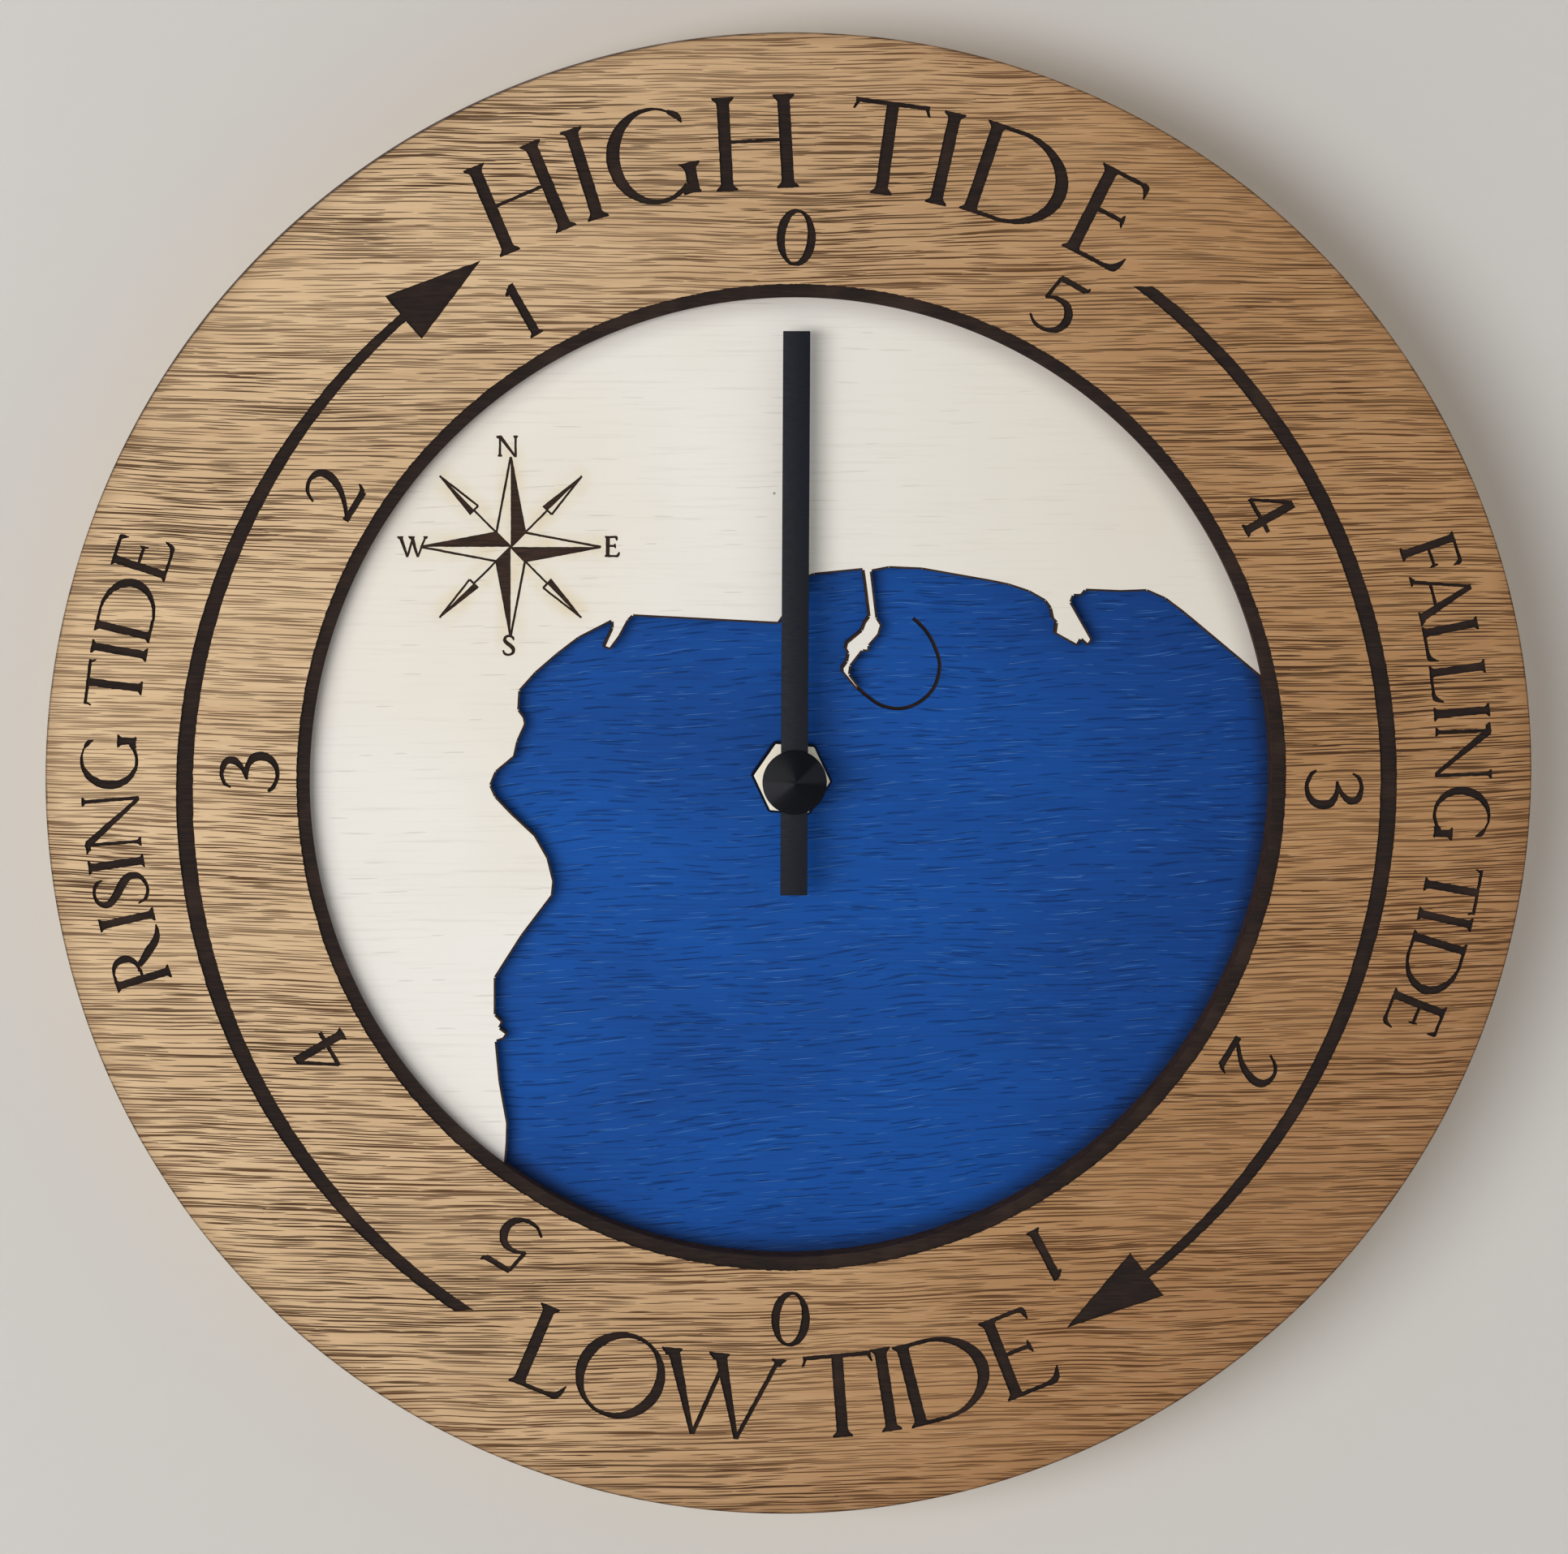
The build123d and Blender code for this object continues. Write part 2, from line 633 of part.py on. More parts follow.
with BuildPart() as centre_wheel:
    wheel(centre_teeth, centre_module, centre_wheel_rear, wheel_thick)
    post(centre_tube_radius, centre_wheel_rear, centre_tube_front)
    post(arbor_radius + running_gap, centre_wheel_rear - overrun, centre_tube_front + overrun,
         mode=Mode.SUBTRACT)
centre_wheel.part.label = "centre_wheel"
export_step(centre_wheel.part, "parts/centre_wheel.step")

# Motion work: cannon pinion, minute wheel and hour wheel
with BuildPart() as cannon_pinion:
    cannon_rear = minute_wheel_rear - leaf_overlap
    pinion(cannon_leaves, cannon_module, cannon_rear, leaf_height)
    post(cannon_radius, cannon_rear, cannon_rear + leaf_height + cannon_length)
    post(centre_tube_radius + running_gap, cannon_rear - overrun, cannon_rear + leaf_height + cannon_length
         + overrun, mode=Mode.SUBTRACT)
cannon_pinion.part.label = "cannon_pinion"
export_step(cannon_pinion.part, "parts/cannon_pinion.step")

with BuildPart() as minute_wheel:
    leaf_rear = minute_wheel_rear + wheel_thick
    minute_phase = mesh_phase(minute_axis, minute_teeth, centre_axis, cannon_leaves)
    wheel(minute_teeth, cannon_module, minute_wheel_rear, wheel_thick, minute_axis, minute_phase)
    pinion(minute_leaves, hour_module, leaf_rear, hour_wheel_front - leaf_rear, minute_axis)
    post(minute_arbor_radius, knob_recess + finger_slot_depth, hour_wheel_front, minute_axis)
    post(arbor_radius, hour_wheel_front, room_front + pivot_length - end_shake, minute_axis)
minute_wheel.part.label = "minute_wheel"
export_step(minute_wheel.part, "parts/minute_wheel.step")

with BuildPart() as hour_wheel:
    hour_phase = mesh_phase(centre_axis, hour_teeth, minute_axis, minute_leaves)
    wheel(hour_teeth, hour_module, hour_wheel_rear, hour_wheel_thick, centre_axis, hour_phase)
    post(hour_tube_radius, hour_wheel_rear, hand_front - end_shake)
    post(cannon_radius + running_gap, hour_wheel_rear - overrun, hand_front + overrun, mode=Mode.SUBTRACT)
hour_wheel.part.label = "hour_wheel"
export_step(hour_wheel.part, "parts/hour_wheel.step")

# Setting knob on the minute wheel's arbor, below the surface of the lid
with BuildPart() as setting_knob:
    with BuildSketch(level(knob_recess, minute_axis)):
        with BuildLine():
            rim = []
            for half_pitch in range(2 * knob_serrations):
                rim_radius = knob_radius - serration_depth * (half_pitch % 2)
                rim.append(polar(rim_radius, 180 * half_pitch / knob_serrations))
            Polyline(*rim, close=True)
        make_face()
        Circle(minute_arbor_radius + press_gap, mode=Mode.SUBTRACT)
    extrude(amount=knob_thick)
    block(minute_axis[0] - knob_radius / 2, minute_axis[0] + knob_radius / 2,
          minute_axis[1] - finger_slot_width / 2, minute_axis[1] + finger_slot_width / 2,
          knob_recess - overrun, knob_recess + finger_slot_depth, mode=Mode.SUBTRACT)
setting_knob.part.label = "setting_knob"
export_step(setting_knob.part, "parts/setting_knob.step")

# Hand: flat baton with square ends and an eye under the cap, on its bush
with BuildPart() as tide_hand:
    with BuildSketch(level(hand_rear, (0, (hand_reach - hand_tail) / 2))):
        Rectangle(hand_width, hand_reach + hand_tail)
    extrude(amount=hand_thick)
    post(hub_eye_radius, hand_rear, hand_front)
    post(hour_tube_radius + press_gap, hand_rear - overrun, hand_front + overrun, mode=Mode.SUBTRACT)
tide_hand.part.label = "tide_hand"
export_step(tide_hand.part, "parts/tide_hand.step")

with BuildPart() as hand_bush:
    post(hand_bush_radius, nut_front + hand_bush_rise, hand_rear)
    post(hour_tube_radius + press_gap, nut_front, hand_rear + overrun, mode=Mode.SUBTRACT)
hand_bush.part.label = "hand_bush"
export_step(hand_bush.part, "parts/hand_bush.step")

# Cap: shallow spun cone with a plug that presses into the hour tube
with BuildPart() as hand_cap:
    with BuildSketch(Plane.XY):
        with BuildLine():
            rim_front = hand_front + cap_rim
            cap_front = rim_front + cap_rise
            plug_rear = hand_front - cap_plug_length
            Polyline(
                (0, -plug_rear),
                (cap_plug_radius, -plug_rear),
                (cap_plug_radius, -hand_front),
                (cap_radius, -hand_front),
                (cap_radius, -rim_front),
                (0, -cap_front),
                close=True,
            )
        make_face()
    revolve(axis=Axis.Y)
hand_cap.part.label = "hand_cap"
export_step(hand_cap.part, "parts/hand_cap.step")

# Stepper motor: stator plate with its ears and the coil core, staked to the case, then bobbin and winding
coil_rise = coil_axis - rotor_axis[1]
with BuildPart() as stator:
    with BuildSketch(level(stator_rear, rotor_axis)):
        Rectangle(stator_span, stator_arm_width)
        Circle(magnet_radius + air_gap + neck_width)
        for side in (-1, 1):
            with Locations((side * stake_offset, coil_rise / 2)):
                Rectangle(stator_arm_width, coil_rise + stator_arm_width)
        with Locations((-stake_offset, coil_rise), (stake_offset, coil_rise)):
            Rectangle(stake_width + 2 * press_gap, stake_width + 2 * press_gap, mode=Mode.SUBTRACT)
        Circle(magnet_radius + air_gap, mode=Mode.SUBTRACT)
    extrude(amount=stator_thick)
stator.part.label = "stator"
export_step(stator.part, "parts/stator.step")

coil_place = (rotor_axis[0], coil_axis)
with BuildPart() as coil_core:
    with BuildSketch(level(core_rear, coil_place)):
        Rectangle(stator_span, core_bar_width)
        with Locations((-stake_offset, 0), (stake_offset, 0)):
            Rectangle(stator_arm_width, stator_arm_width)
            Rectangle(stake_width + 2 * press_gap, stake_width + 2 * press_gap, mode=Mode.SUBTRACT)
    extrude(amount=stator_thick)
coil_core.part.label = "coil_core"
export_step(coil_core.part, "parts/coil_core.step")

coil_height = (core_rear + core_front) / 2
bobbin_length = stator_span - 2 * stator_arm_width - 2 * coil_gap
coil_left = rotor_axis[0] - bobbin_length / 2


def coil_disc(radius, start, end, mode=Mode.ADD):
    """Round solid about the coil's own axis."""
    with BuildSketch(Plane.YZ.offset(coil_left + start)) as section:
        with Locations((-coil_height, coil_axis)):
            Circle(radius)
    extrude(to_extrude=section.sketch, amount=end - start, mode=mode)


with BuildPart() as coil_bobbin:
    coil_disc(bobbin_barrel_radius, 0, bobbin_length)
    flange_half = bobbin_flange_half
    for left in (coil_left, coil_left + bobbin_length - bobbin_flange_thick):
        block(left, left + bobbin_flange_thick, coil_axis - flange_half, coil_axis + flange_half,
              coil_height - flange_half, coil_height + flange_half)
    block(coil_left - overrun, coil_left + bobbin_length + overrun,
          coil_axis - core_bar_width / 2 - coil_gap, coil_axis + core_bar_width / 2 + coil_gap,
          core_rear - coil_gap, core_front + coil_gap, mode=Mode.SUBTRACT)
coil_bobbin.part.label = "coil_bobbin"
export_step(coil_bobbin.part, "parts/coil_bobbin.step")

with BuildPart() as coil_winding:
    wound_start = bobbin_flange_thick + coil_gap
    wound_end = bobbin_length - bobbin_flange_thick - coil_gap
    coil_disc(winding_radius, wound_start, wound_end)
    coil_disc(bobbin_barrel_radius + coil_gap, wound_start - overrun, wound_end + overrun, mode=Mode.SUBTRACT)
coil_winding.part.label = "coil_winding"
export_step(coil_winding.part, "parts/coil_winding.step")

# Circuit board with its chip and crystal
with BuildPart() as circuit_board:
    block(board_left, board_right, board_low, board_high, board_rear, board_front)
circuit_board.part.label = "circuit_board"
export_step(circuit_board.part, "parts/circuit_board.step")

board_middle = (board_left + board_right) / 2
with BuildPart() as driver_chip:
    pillar(chip_width, board_front, board_front + chip_height, (board_middle, 0))
    chamfer(driver_chip.edges().group_by(Axis.Y)[0], length=chip_bevel)
driver_chip.part.label = "driver_chip"
export_step(driver_chip.part, "parts/driver_chip.step")

with BuildPart() as quartz_crystal:
    crystal_low = board_high - crystal_length - 2 * crystal_radius
    with BuildSketch(Plane.XY.offset(crystal_low)):
        with Locations((board_middle, -(board_front + crystal_radius))):
            Circle(crystal_radius)
    extrude(amount=crystal_length)
quartz_crystal.part.label = "quartz_crystal"
export_step(quartz_crystal.part, "parts/quartz_crystal.step")

# Battery and its two contacts; the nub points left
with BuildPart() as battery_cell:
    with BuildSketch(level(battery_height, (-battery_half, bay_centre))):
        Rectangle(battery_half * 2, nub_radius, align=(Align.MIN, Align.MIN))
        with Locations((nub_length, 0)):
            Rectangle(battery_length, battery_radius, align=(Align.MIN, Align.MIN))
    revolve(axis=Axis((0, -battery_height, bay_centre), (1, 0, 0)))
battery_cell.part.label = "battery_cell"
export_step(battery_cell.part, "parts/battery_cell.step")

contact_low = bay_centre - contact_reach
with BuildPart() as contact_positive:
    with BuildSketch(level(board_rear)):
        with BuildLine():
            plate = -battery_half - contact_thick / 2
            run = room_low + contact_thick
            tab = board_left + contact_reach
            Polyline((plate, contact_low), (plate, run), (tab, run), (tab, board_low))
        trace(line_width=contact_thick)
    extrude(amount=contact_width)
contact_positive.part.label = "contact_positive"
export_step(contact_positive.part, "parts/contact_positive.step")

with BuildPart() as contact_negative:
    with BuildSketch(level(board_rear)):
        with BuildLine():
            rest = battery_half + contact_thick / 2
            back = rest + leaf_bow
            leaf_top = 2 * bay_centre - contact_low
            Polyline((back, contact_low), (rest, bay_centre), (back, leaf_top), (back, board_low))
        trace(line_width=contact_thick)
    extrude(amount=contact_width)
contact_negative.part.label = "contact_negative"
export_step(contact_negative.part, "parts/contact_negative.step")
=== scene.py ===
import math

import bmesh
import bpy
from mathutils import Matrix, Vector, noise
from mathutils.geometry import delaunay_2d_cdt


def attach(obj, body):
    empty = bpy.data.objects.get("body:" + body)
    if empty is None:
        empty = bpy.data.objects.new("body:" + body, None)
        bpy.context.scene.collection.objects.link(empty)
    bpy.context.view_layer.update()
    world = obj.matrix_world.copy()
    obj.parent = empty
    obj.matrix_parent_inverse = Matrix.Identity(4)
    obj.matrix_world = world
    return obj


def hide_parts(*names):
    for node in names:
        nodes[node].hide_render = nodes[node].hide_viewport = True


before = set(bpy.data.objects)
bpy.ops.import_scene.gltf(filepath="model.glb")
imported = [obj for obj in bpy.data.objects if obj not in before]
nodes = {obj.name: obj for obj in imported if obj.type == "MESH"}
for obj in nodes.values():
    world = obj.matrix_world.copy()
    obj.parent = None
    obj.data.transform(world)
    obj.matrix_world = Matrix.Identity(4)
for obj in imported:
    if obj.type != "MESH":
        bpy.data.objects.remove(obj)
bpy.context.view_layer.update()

# Lengths are in millimetres until a mesh is made. x runs right, z up, and a height is a distance
# in front of the wall, so it lies at y = -height. Dial angles run clockwise from the top.
MM = 0.001
DIAL_RADIUS = 125.0
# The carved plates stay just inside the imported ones, whose circle is a polygon
RIM = DIAL_RADIUS - 0.04
OPENING_RADIUS = 81.0
RING_REAR = 23.8
DIAL_FRONT = 26.8
LAND_REAR = 20.8
SEA_REAR = 17.8
CARVE_DEPTH = 0.5
ROSE_DEPTH = 0.3
SCORCH_DEPTH = 0.08
ROSE_CENTRE = (-47.4, 39.1)
PLY = 1.0


# Camera, found from the photographed circles; its place is in metres
def make_camera():
    data = bpy.data.cameras.new("camera")
    data.sensor_width = 36
    data.lens = 170.94
    data.clip_start = 0.05
    data.clip_end = 50
    cam = bpy.data.objects.new("camera", data)
    bpy.context.collection.objects.link(cam)
    cam.location = (-0.0864, -1.2666, 0.1294)
    cam.rotation_euler = (math.radians(84.084), math.radians(-0.293), math.radians(-3.883))
    bpy.context.scene.camera = cam


make_camera()


# Node materials
class Mat:
    """A material under construction: short calls that add and join its nodes."""

    def __init__(self, name):
        self.mat = bpy.data.materials.new(name)
        self.mat.use_nodes = True
        self.tree = self.mat.node_tree
        self.tree.nodes.clear()
        self.out = self.add("ShaderNodeOutputMaterial")
        self.bsdf = self.add("ShaderNodeBsdfPrincipled")
        self.join(self.bsdf.outputs["BSDF"], self.out.inputs["Surface"])
        self.coords = self.add("ShaderNodeTexCoord").outputs["Object"]

    def add(self, kind, **settings):
        node = self.tree.nodes.new(kind)
        for key, value in settings.items():
            setattr(node, key, value)
        return node

    def join(self, source, target):
        self.tree.links.new(source, target)

    def put(self, socket, value):
        if isinstance(value, bpy.types.NodeSocket):
            self.join(value, socket)
        elif isinstance(value, tuple) and len(value) == 3 and socket.type == "RGBA":
            socket.default_value = (*value, 1)
        else:
            socket.default_value = value

    def set(self, **values):
        for key, value in values.items():
            self.put(self.bsdf.inputs[key.replace("_", " ")], value)

    def scaled(self, x, y, z, turn=0.0, shift=0.0):
        """Object coordinates in millimetres, times a factor on each axis, turned in the dial's plane."""
        node = self.add("ShaderNodeMapping")
        self.join(self.coords, node.inputs["Vector"])
        node.inputs["Scale"].default_value = (x / MM, y / MM, z / MM)
        node.inputs["Rotation"].default_value = (0, turn, 0)
        node.inputs["Location"].default_value = (shift, 2 * shift, 3 * shift)
        return node.outputs["Vector"]

    def noise(self, vector, detail, rough=0.5, distort=0.0):
        node = self.add("ShaderNodeTexNoise")
        self.join(vector, node.inputs["Vector"])
        node.inputs["Scale"].default_value = 1.0
        node.inputs["Detail"].default_value = detail
        node.inputs["Roughness"].default_value = rough
        node.inputs["Distortion"].default_value = distort
        return node.outputs["Fac"]

    def voronoi(self, vector):
        """Distance to the nearest of scattered points."""
        node = self.add("ShaderNodeTexVoronoi", feature="F1")
        self.join(vector, node.inputs["Vector"])
        node.inputs["Scale"].default_value = 1.0
        node.inputs["Randomness"].default_value = 1.0
        return node.outputs["Distance"]

    def dashes(self, length, pitch, thick, shift, lean, wave, share, bend=0.0):
        """Thin tapered strokes along X, in a share of the cells of length by pitch, in millimetres.
        They rise to the right by an angle, sway by a wave, and curve upwards left of the middle."""
        x = self.axis("X")
        z = self.axis("Z")
        sway = self.math("SUBTRACT", self.noise(self.scaled(0.018, 0.02, 0.03, 0.0, 3.0), 2), 0.5)
        z = self.math("ADD", z, self.math("MULTIPLY", sway, wave))
        z = self.math("ADD", z, self.math("MULTIPLY", x, -math.tan(math.radians(lean))))
        left = self.math("MINIMUM", x, 0.0)
        z = self.math("ADD", z, self.math("MULTIPLY", self.math("MULTIPLY", left, left), -bend))
        spot = self.add("ShaderNodeCombineXYZ")
        self.join(self.math("ADD", self.math("MULTIPLY", x, 1 / length), shift), spot.inputs[0])
        self.join(self.math("ADD", self.math("MULTIPLY", z, 1 / pitch), 2 * shift), spot.inputs[1])
        cell = self.add("ShaderNodeTexVoronoi", voronoi_dimensions="2D", feature="F1")
        self.join(spot.outputs[0], cell.inputs["Vector"])
        cell.inputs["Scale"].default_value = 1.0
        cell.inputs["Randomness"].default_value = 1.0
        off = self.add("ShaderNodeVectorMath", operation="SUBTRACT")
        self.join(spot.outputs[0], off.inputs[0])
        self.join(cell.outputs["Position"], off.inputs[1])
        part = self.add("ShaderNodeSeparateXYZ")
        self.join(off.outputs[0], part.inputs[0])
        chance = self.add("ShaderNodeSeparateColor")
        self.join(cell.outputs["Color"], chance.inputs[0])
        half = self.math("ADD", self.math("MULTIPLY", chance.outputs[0], 0.4), 0.2)
        along = self.math("DIVIDE", part.outputs["X"], half)
        taper = self.math("SUBTRACT", 1.0, self.math("MULTIPLY", along, along), True)
        across = self.math("MULTIPLY", self.math("ABSOLUTE", part.outputs["Y"]), pitch)
        ratio = self.math("DIVIDE", across, self.math("ADD", self.math("MULTIPLY", taper, thick / 2), 0.001))
        stroke = self.band(ratio, 0.7, 1.5, 1.0, 0.0)
        stroke = self.math("MULTIPLY", stroke, self.band(taper, 0.0, 0.3))
        return self.math("MULTIPLY", stroke, self.band(chance.outputs[1], 1 - share, 1.15 - share))

    def math(self, kind, a, b=0.0, clamp=False):
        node = self.add("ShaderNodeMath", operation=kind, use_clamp=clamp)
        self.put(node.inputs[0], a)
        self.put(node.inputs[1], b)
        return node.outputs[0]

    def greatest(self, values):
        """The greatest of several values."""
        out = values[0]
        for value in values[1:]:
            out = self.math("MAXIMUM", out, value)
        return out

    def band(self, value, low, high, to_low=0.0, to_high=1.0):
        """Smooth step of a value between two limits."""
        node = self.add("ShaderNodeMapRange", interpolation_type="SMOOTHSTEP")
        self.put(node.inputs["Value"], value)
        for key, number in (("From Min", low), ("From Max", high), ("To Min", to_low), ("To Max", to_high)):
            node.inputs[key].default_value = number
        return node.outputs["Result"]

    def mix(self, share, a, b):
        node = self.add("ShaderNodeMix", data_type="RGBA", blend_type="MIX")
        self.put(node.inputs["Factor"], share)
        self.put(node.inputs[6], a)
        self.put(node.inputs[7], b)
        return node.outputs[2]

    def bump(self, height, distance, strength=1.0):
        """Relief of a height, each unit of which stands for a distance in millimetres."""
        node = self.add("ShaderNodeBump")
        self.join(height, node.inputs["Height"])
        node.inputs["Distance"].default_value = distance * MM
        node.inputs["Strength"].default_value = strength
        self.join(node.outputs["Normal"], self.bsdf.inputs["Normal"])

    def axis(self, name):
        """One of the object coordinates, in millimetres."""
        node = self.add("ShaderNodeSeparateXYZ")
        self.join(self.coords, node.inputs[0])
        return self.math("MULTIPLY", node.outputs[name], 1 / MM)

    def length(self, x, z):
        """Length of a vector in the plane of the dial."""
        return self.math("SQRT", self.math("ADD", self.math("MULTIPLY", x, x), self.math("MULTIPLY", z, z)))

    def radius(self):
        """Distance from the arbor axis, in millimetres."""
        return self.length(self.axis("X"), self.axis("Z"))

    def facing(self):
        """1 where the surface faces front or back, 0 on the cut edges."""
        node = self.add("ShaderNodeTexCoord")
        split = self.add("ShaderNodeSeparateXYZ")
        self.join(node.outputs["Normal"], split.inputs[0])
        return self.band(self.math("ABSOLUTE", split.outputs["Y"]), 0.5, 0.9)


def rgb(red, green, blue):
    """Linear colour of an sRGB colour given from 0 to 255."""
    out = []
    for value in (red, green, blue):
        value /= 255
        out.append(value / 12.92 if value <= 0.04045 else ((value + 0.055) / 1.055) ** 2.4)
    return tuple(out)


def burnt_plies(m, dark, light, soot_and_shade):
    """Colour of a cut edge of burnt plies, and the cloud that its soot follows."""
    cloud = m.noise(m.scaled(0.6, 0.6, 0.6), 3)
    plies = m.math("SINE", m.math("MULTIPLY", m.axis("Y"), 2 * math.pi / PLY))
    colour = m.mix(m.band(plies, -0.2, 0.9), dark, light)
    return m.mix(m.band(cloud, 0.4, 0.7, 0.0, 0.6), colour, soot_and_shade), cloud


# Length, pitch, thickness and shift of each set of open pores
PORES = ((44, 1.4, 0.22, 3.3), (30, 1.1, 0.2, 17.1), (17, 0.85, 0.17, 40.7), (9, 0.65, 0.14, 71.9))


def oak_material():
    m = Mat("oak_veneer")
    turn = math.radians(1.1)
    # Painted shade: the wood is darker and browner to the right and towards the lower right, away from the
    # lamp
    slope = m.math("SUBTRACT", m.axis("X"), m.math("MULTIPLY", m.axis("Z"), 0.15))
    across = m.band(slope, -110, 75)
    slow = m.band(m.noise(m.scaled(0.008, 0.02, 0.035, turn), 3, 0.6), 0.3, 0.7)
    pale = m.mix(across, rgb(222, 193, 155), rgb(177, 136, 94))
    brown = m.mix(across, rgb(210, 178, 139), rgb(166, 125, 84))
    colour = m.mix(slow, pale, brown)
    # Painted shade, deepest towards the lower right
    painted_shade_low_right = m.band(m.math("SUBTRACT", m.axis("X"), m.axis("Z")), 90, 160, 0.0, 0.4)
    colour = m.mix(painted_shade_low_right, colour, rgb(142, 97, 62))
    figure = m.noise(m.scaled(0.025, 0.2, 0.5, turn, 3.0), 4, 0.62, 0.5)
    colour = m.mix(m.band(figure, 0.45, 0.75, 0.0, 0.3), colour, rgb(152, 114, 77))
    fibre = m.noise(m.scaled(0.1, 2.0, 5.0, turn, 5.0), 4, 0.65)
    colour = m.mix(m.band(fibre, 0.52, 0.78, 0.0, 0.4), colour, rgb(226, 197, 160))
    colour = m.mix(m.band(fibre, 0.26, 0.47, 0.35, 0.0), colour, rgb(142, 106, 72))
    # Open pores are thin dark dashes along the grain, fainter where the wood is calm
    pores = m.greatest([m.dashes(*size, lean=1.0, wave=3.5, share=0.9, bend=0.00024) for size in PORES])
    calm = m.noise(m.scaled(0.02, 0.05, 0.055, turn, 47.0), 2)
    pores = m.math("MULTIPLY", pores, m.band(calm, 0.36, 0.58, 0.7, 1.0))
    tint = m.mix(m.band(slow, 0.2, 0.8), rgb(86, 55, 31), rgb(62, 38, 21))
    colour = m.mix(m.math("MULTIPLY", pores, 0.97), colour, tint)
    # Burnt margin along the outer cut, and painted shade darkening the last few millimetres inside it
    radius = m.radius()
    wobble = m.math("MULTIPLY", m.noise(m.scaled(0.3, 0.3, 0.3), 2), 0.4)
    rim = m.band(m.math("ADD", radius, wobble), DIAL_RADIUS - 0.25, DIAL_RADIUS + 0.25)
    # Painted shade towards the outer edge
    shade = m.band(radius, DIAL_RADIUS - 3.5, DIAL_RADIUS + 0.2, 0.0, 0.3)
    colour = m.mix(shade, colour, rgb(120, 84, 54))
    colour = m.mix(m.math("MULTIPLY", rim, 0.9), colour, rgb(44, 30, 24))
    m.set(Base_Color=colour, Roughness=0.65, Specular_IOR_Level=0.1)
    height = m.math("SUBTRACT", m.math("MULTIPLY", fibre, 0.3), m.math("MULTIPLY", pores, 0.9))
    m.bump(height, 0.09, 0.6)
    return m.mat


def char_material(name, dark, brown):
    """Burnt wood: near black, with brown where the fibres show."""
    m = Mat(name)
    fibre = m.noise(m.scaled(0.25, 2.0, 3.0), 3)
    cloud = m.noise(m.scaled(0.12, 0.12, 0.12), 2)
    colour = m.mix(m.band(fibre, 0.35, 0.75), dark, brown)
    colour = m.mix(m.band(cloud, 0.45, 0.8, 0.0, 0.5), colour, rgb(62, 44, 36))
    m.set(Base_Color=colour, Roughness=0.8, Specular_IOR_Level=0.25)
    m.bump(fibre, 0.1, 0.8)
    return m.mat


def edge_material():
    m = Mat("burnt_ply_edge")
    colour, cloud = burnt_plies(m, rgb(44, 29, 23), rgb(92, 64, 44), rgb(28, 20, 17))
    m.set(Base_Color=colour, Roughness=0.85, Specular_IOR_Level=0.2)
    m.bump(cloud, 0.1)
    return m.mat


def birch_material():
    m = Mat("birch_ply_back")
    slow = m.noise(m.scaled(0.01, 0.02, 0.06), 3)
    fibre = m.noise(m.scaled(0.15, 1.0, 3.0), 3)
    colour = m.mix(m.band(slow, 0.3, 0.7), rgb(214, 190, 152), rgb(200, 171, 130))
    colour = m.mix(m.band(fibre, 0.45, 0.75, 0.0, 0.45), colour, rgb(172, 139, 98))
    m.set(Base_Color=colour, Roughness=0.7, Specular_IOR_Level=0.2)
    m.bump(fibre, 0.05)
    return m.mat


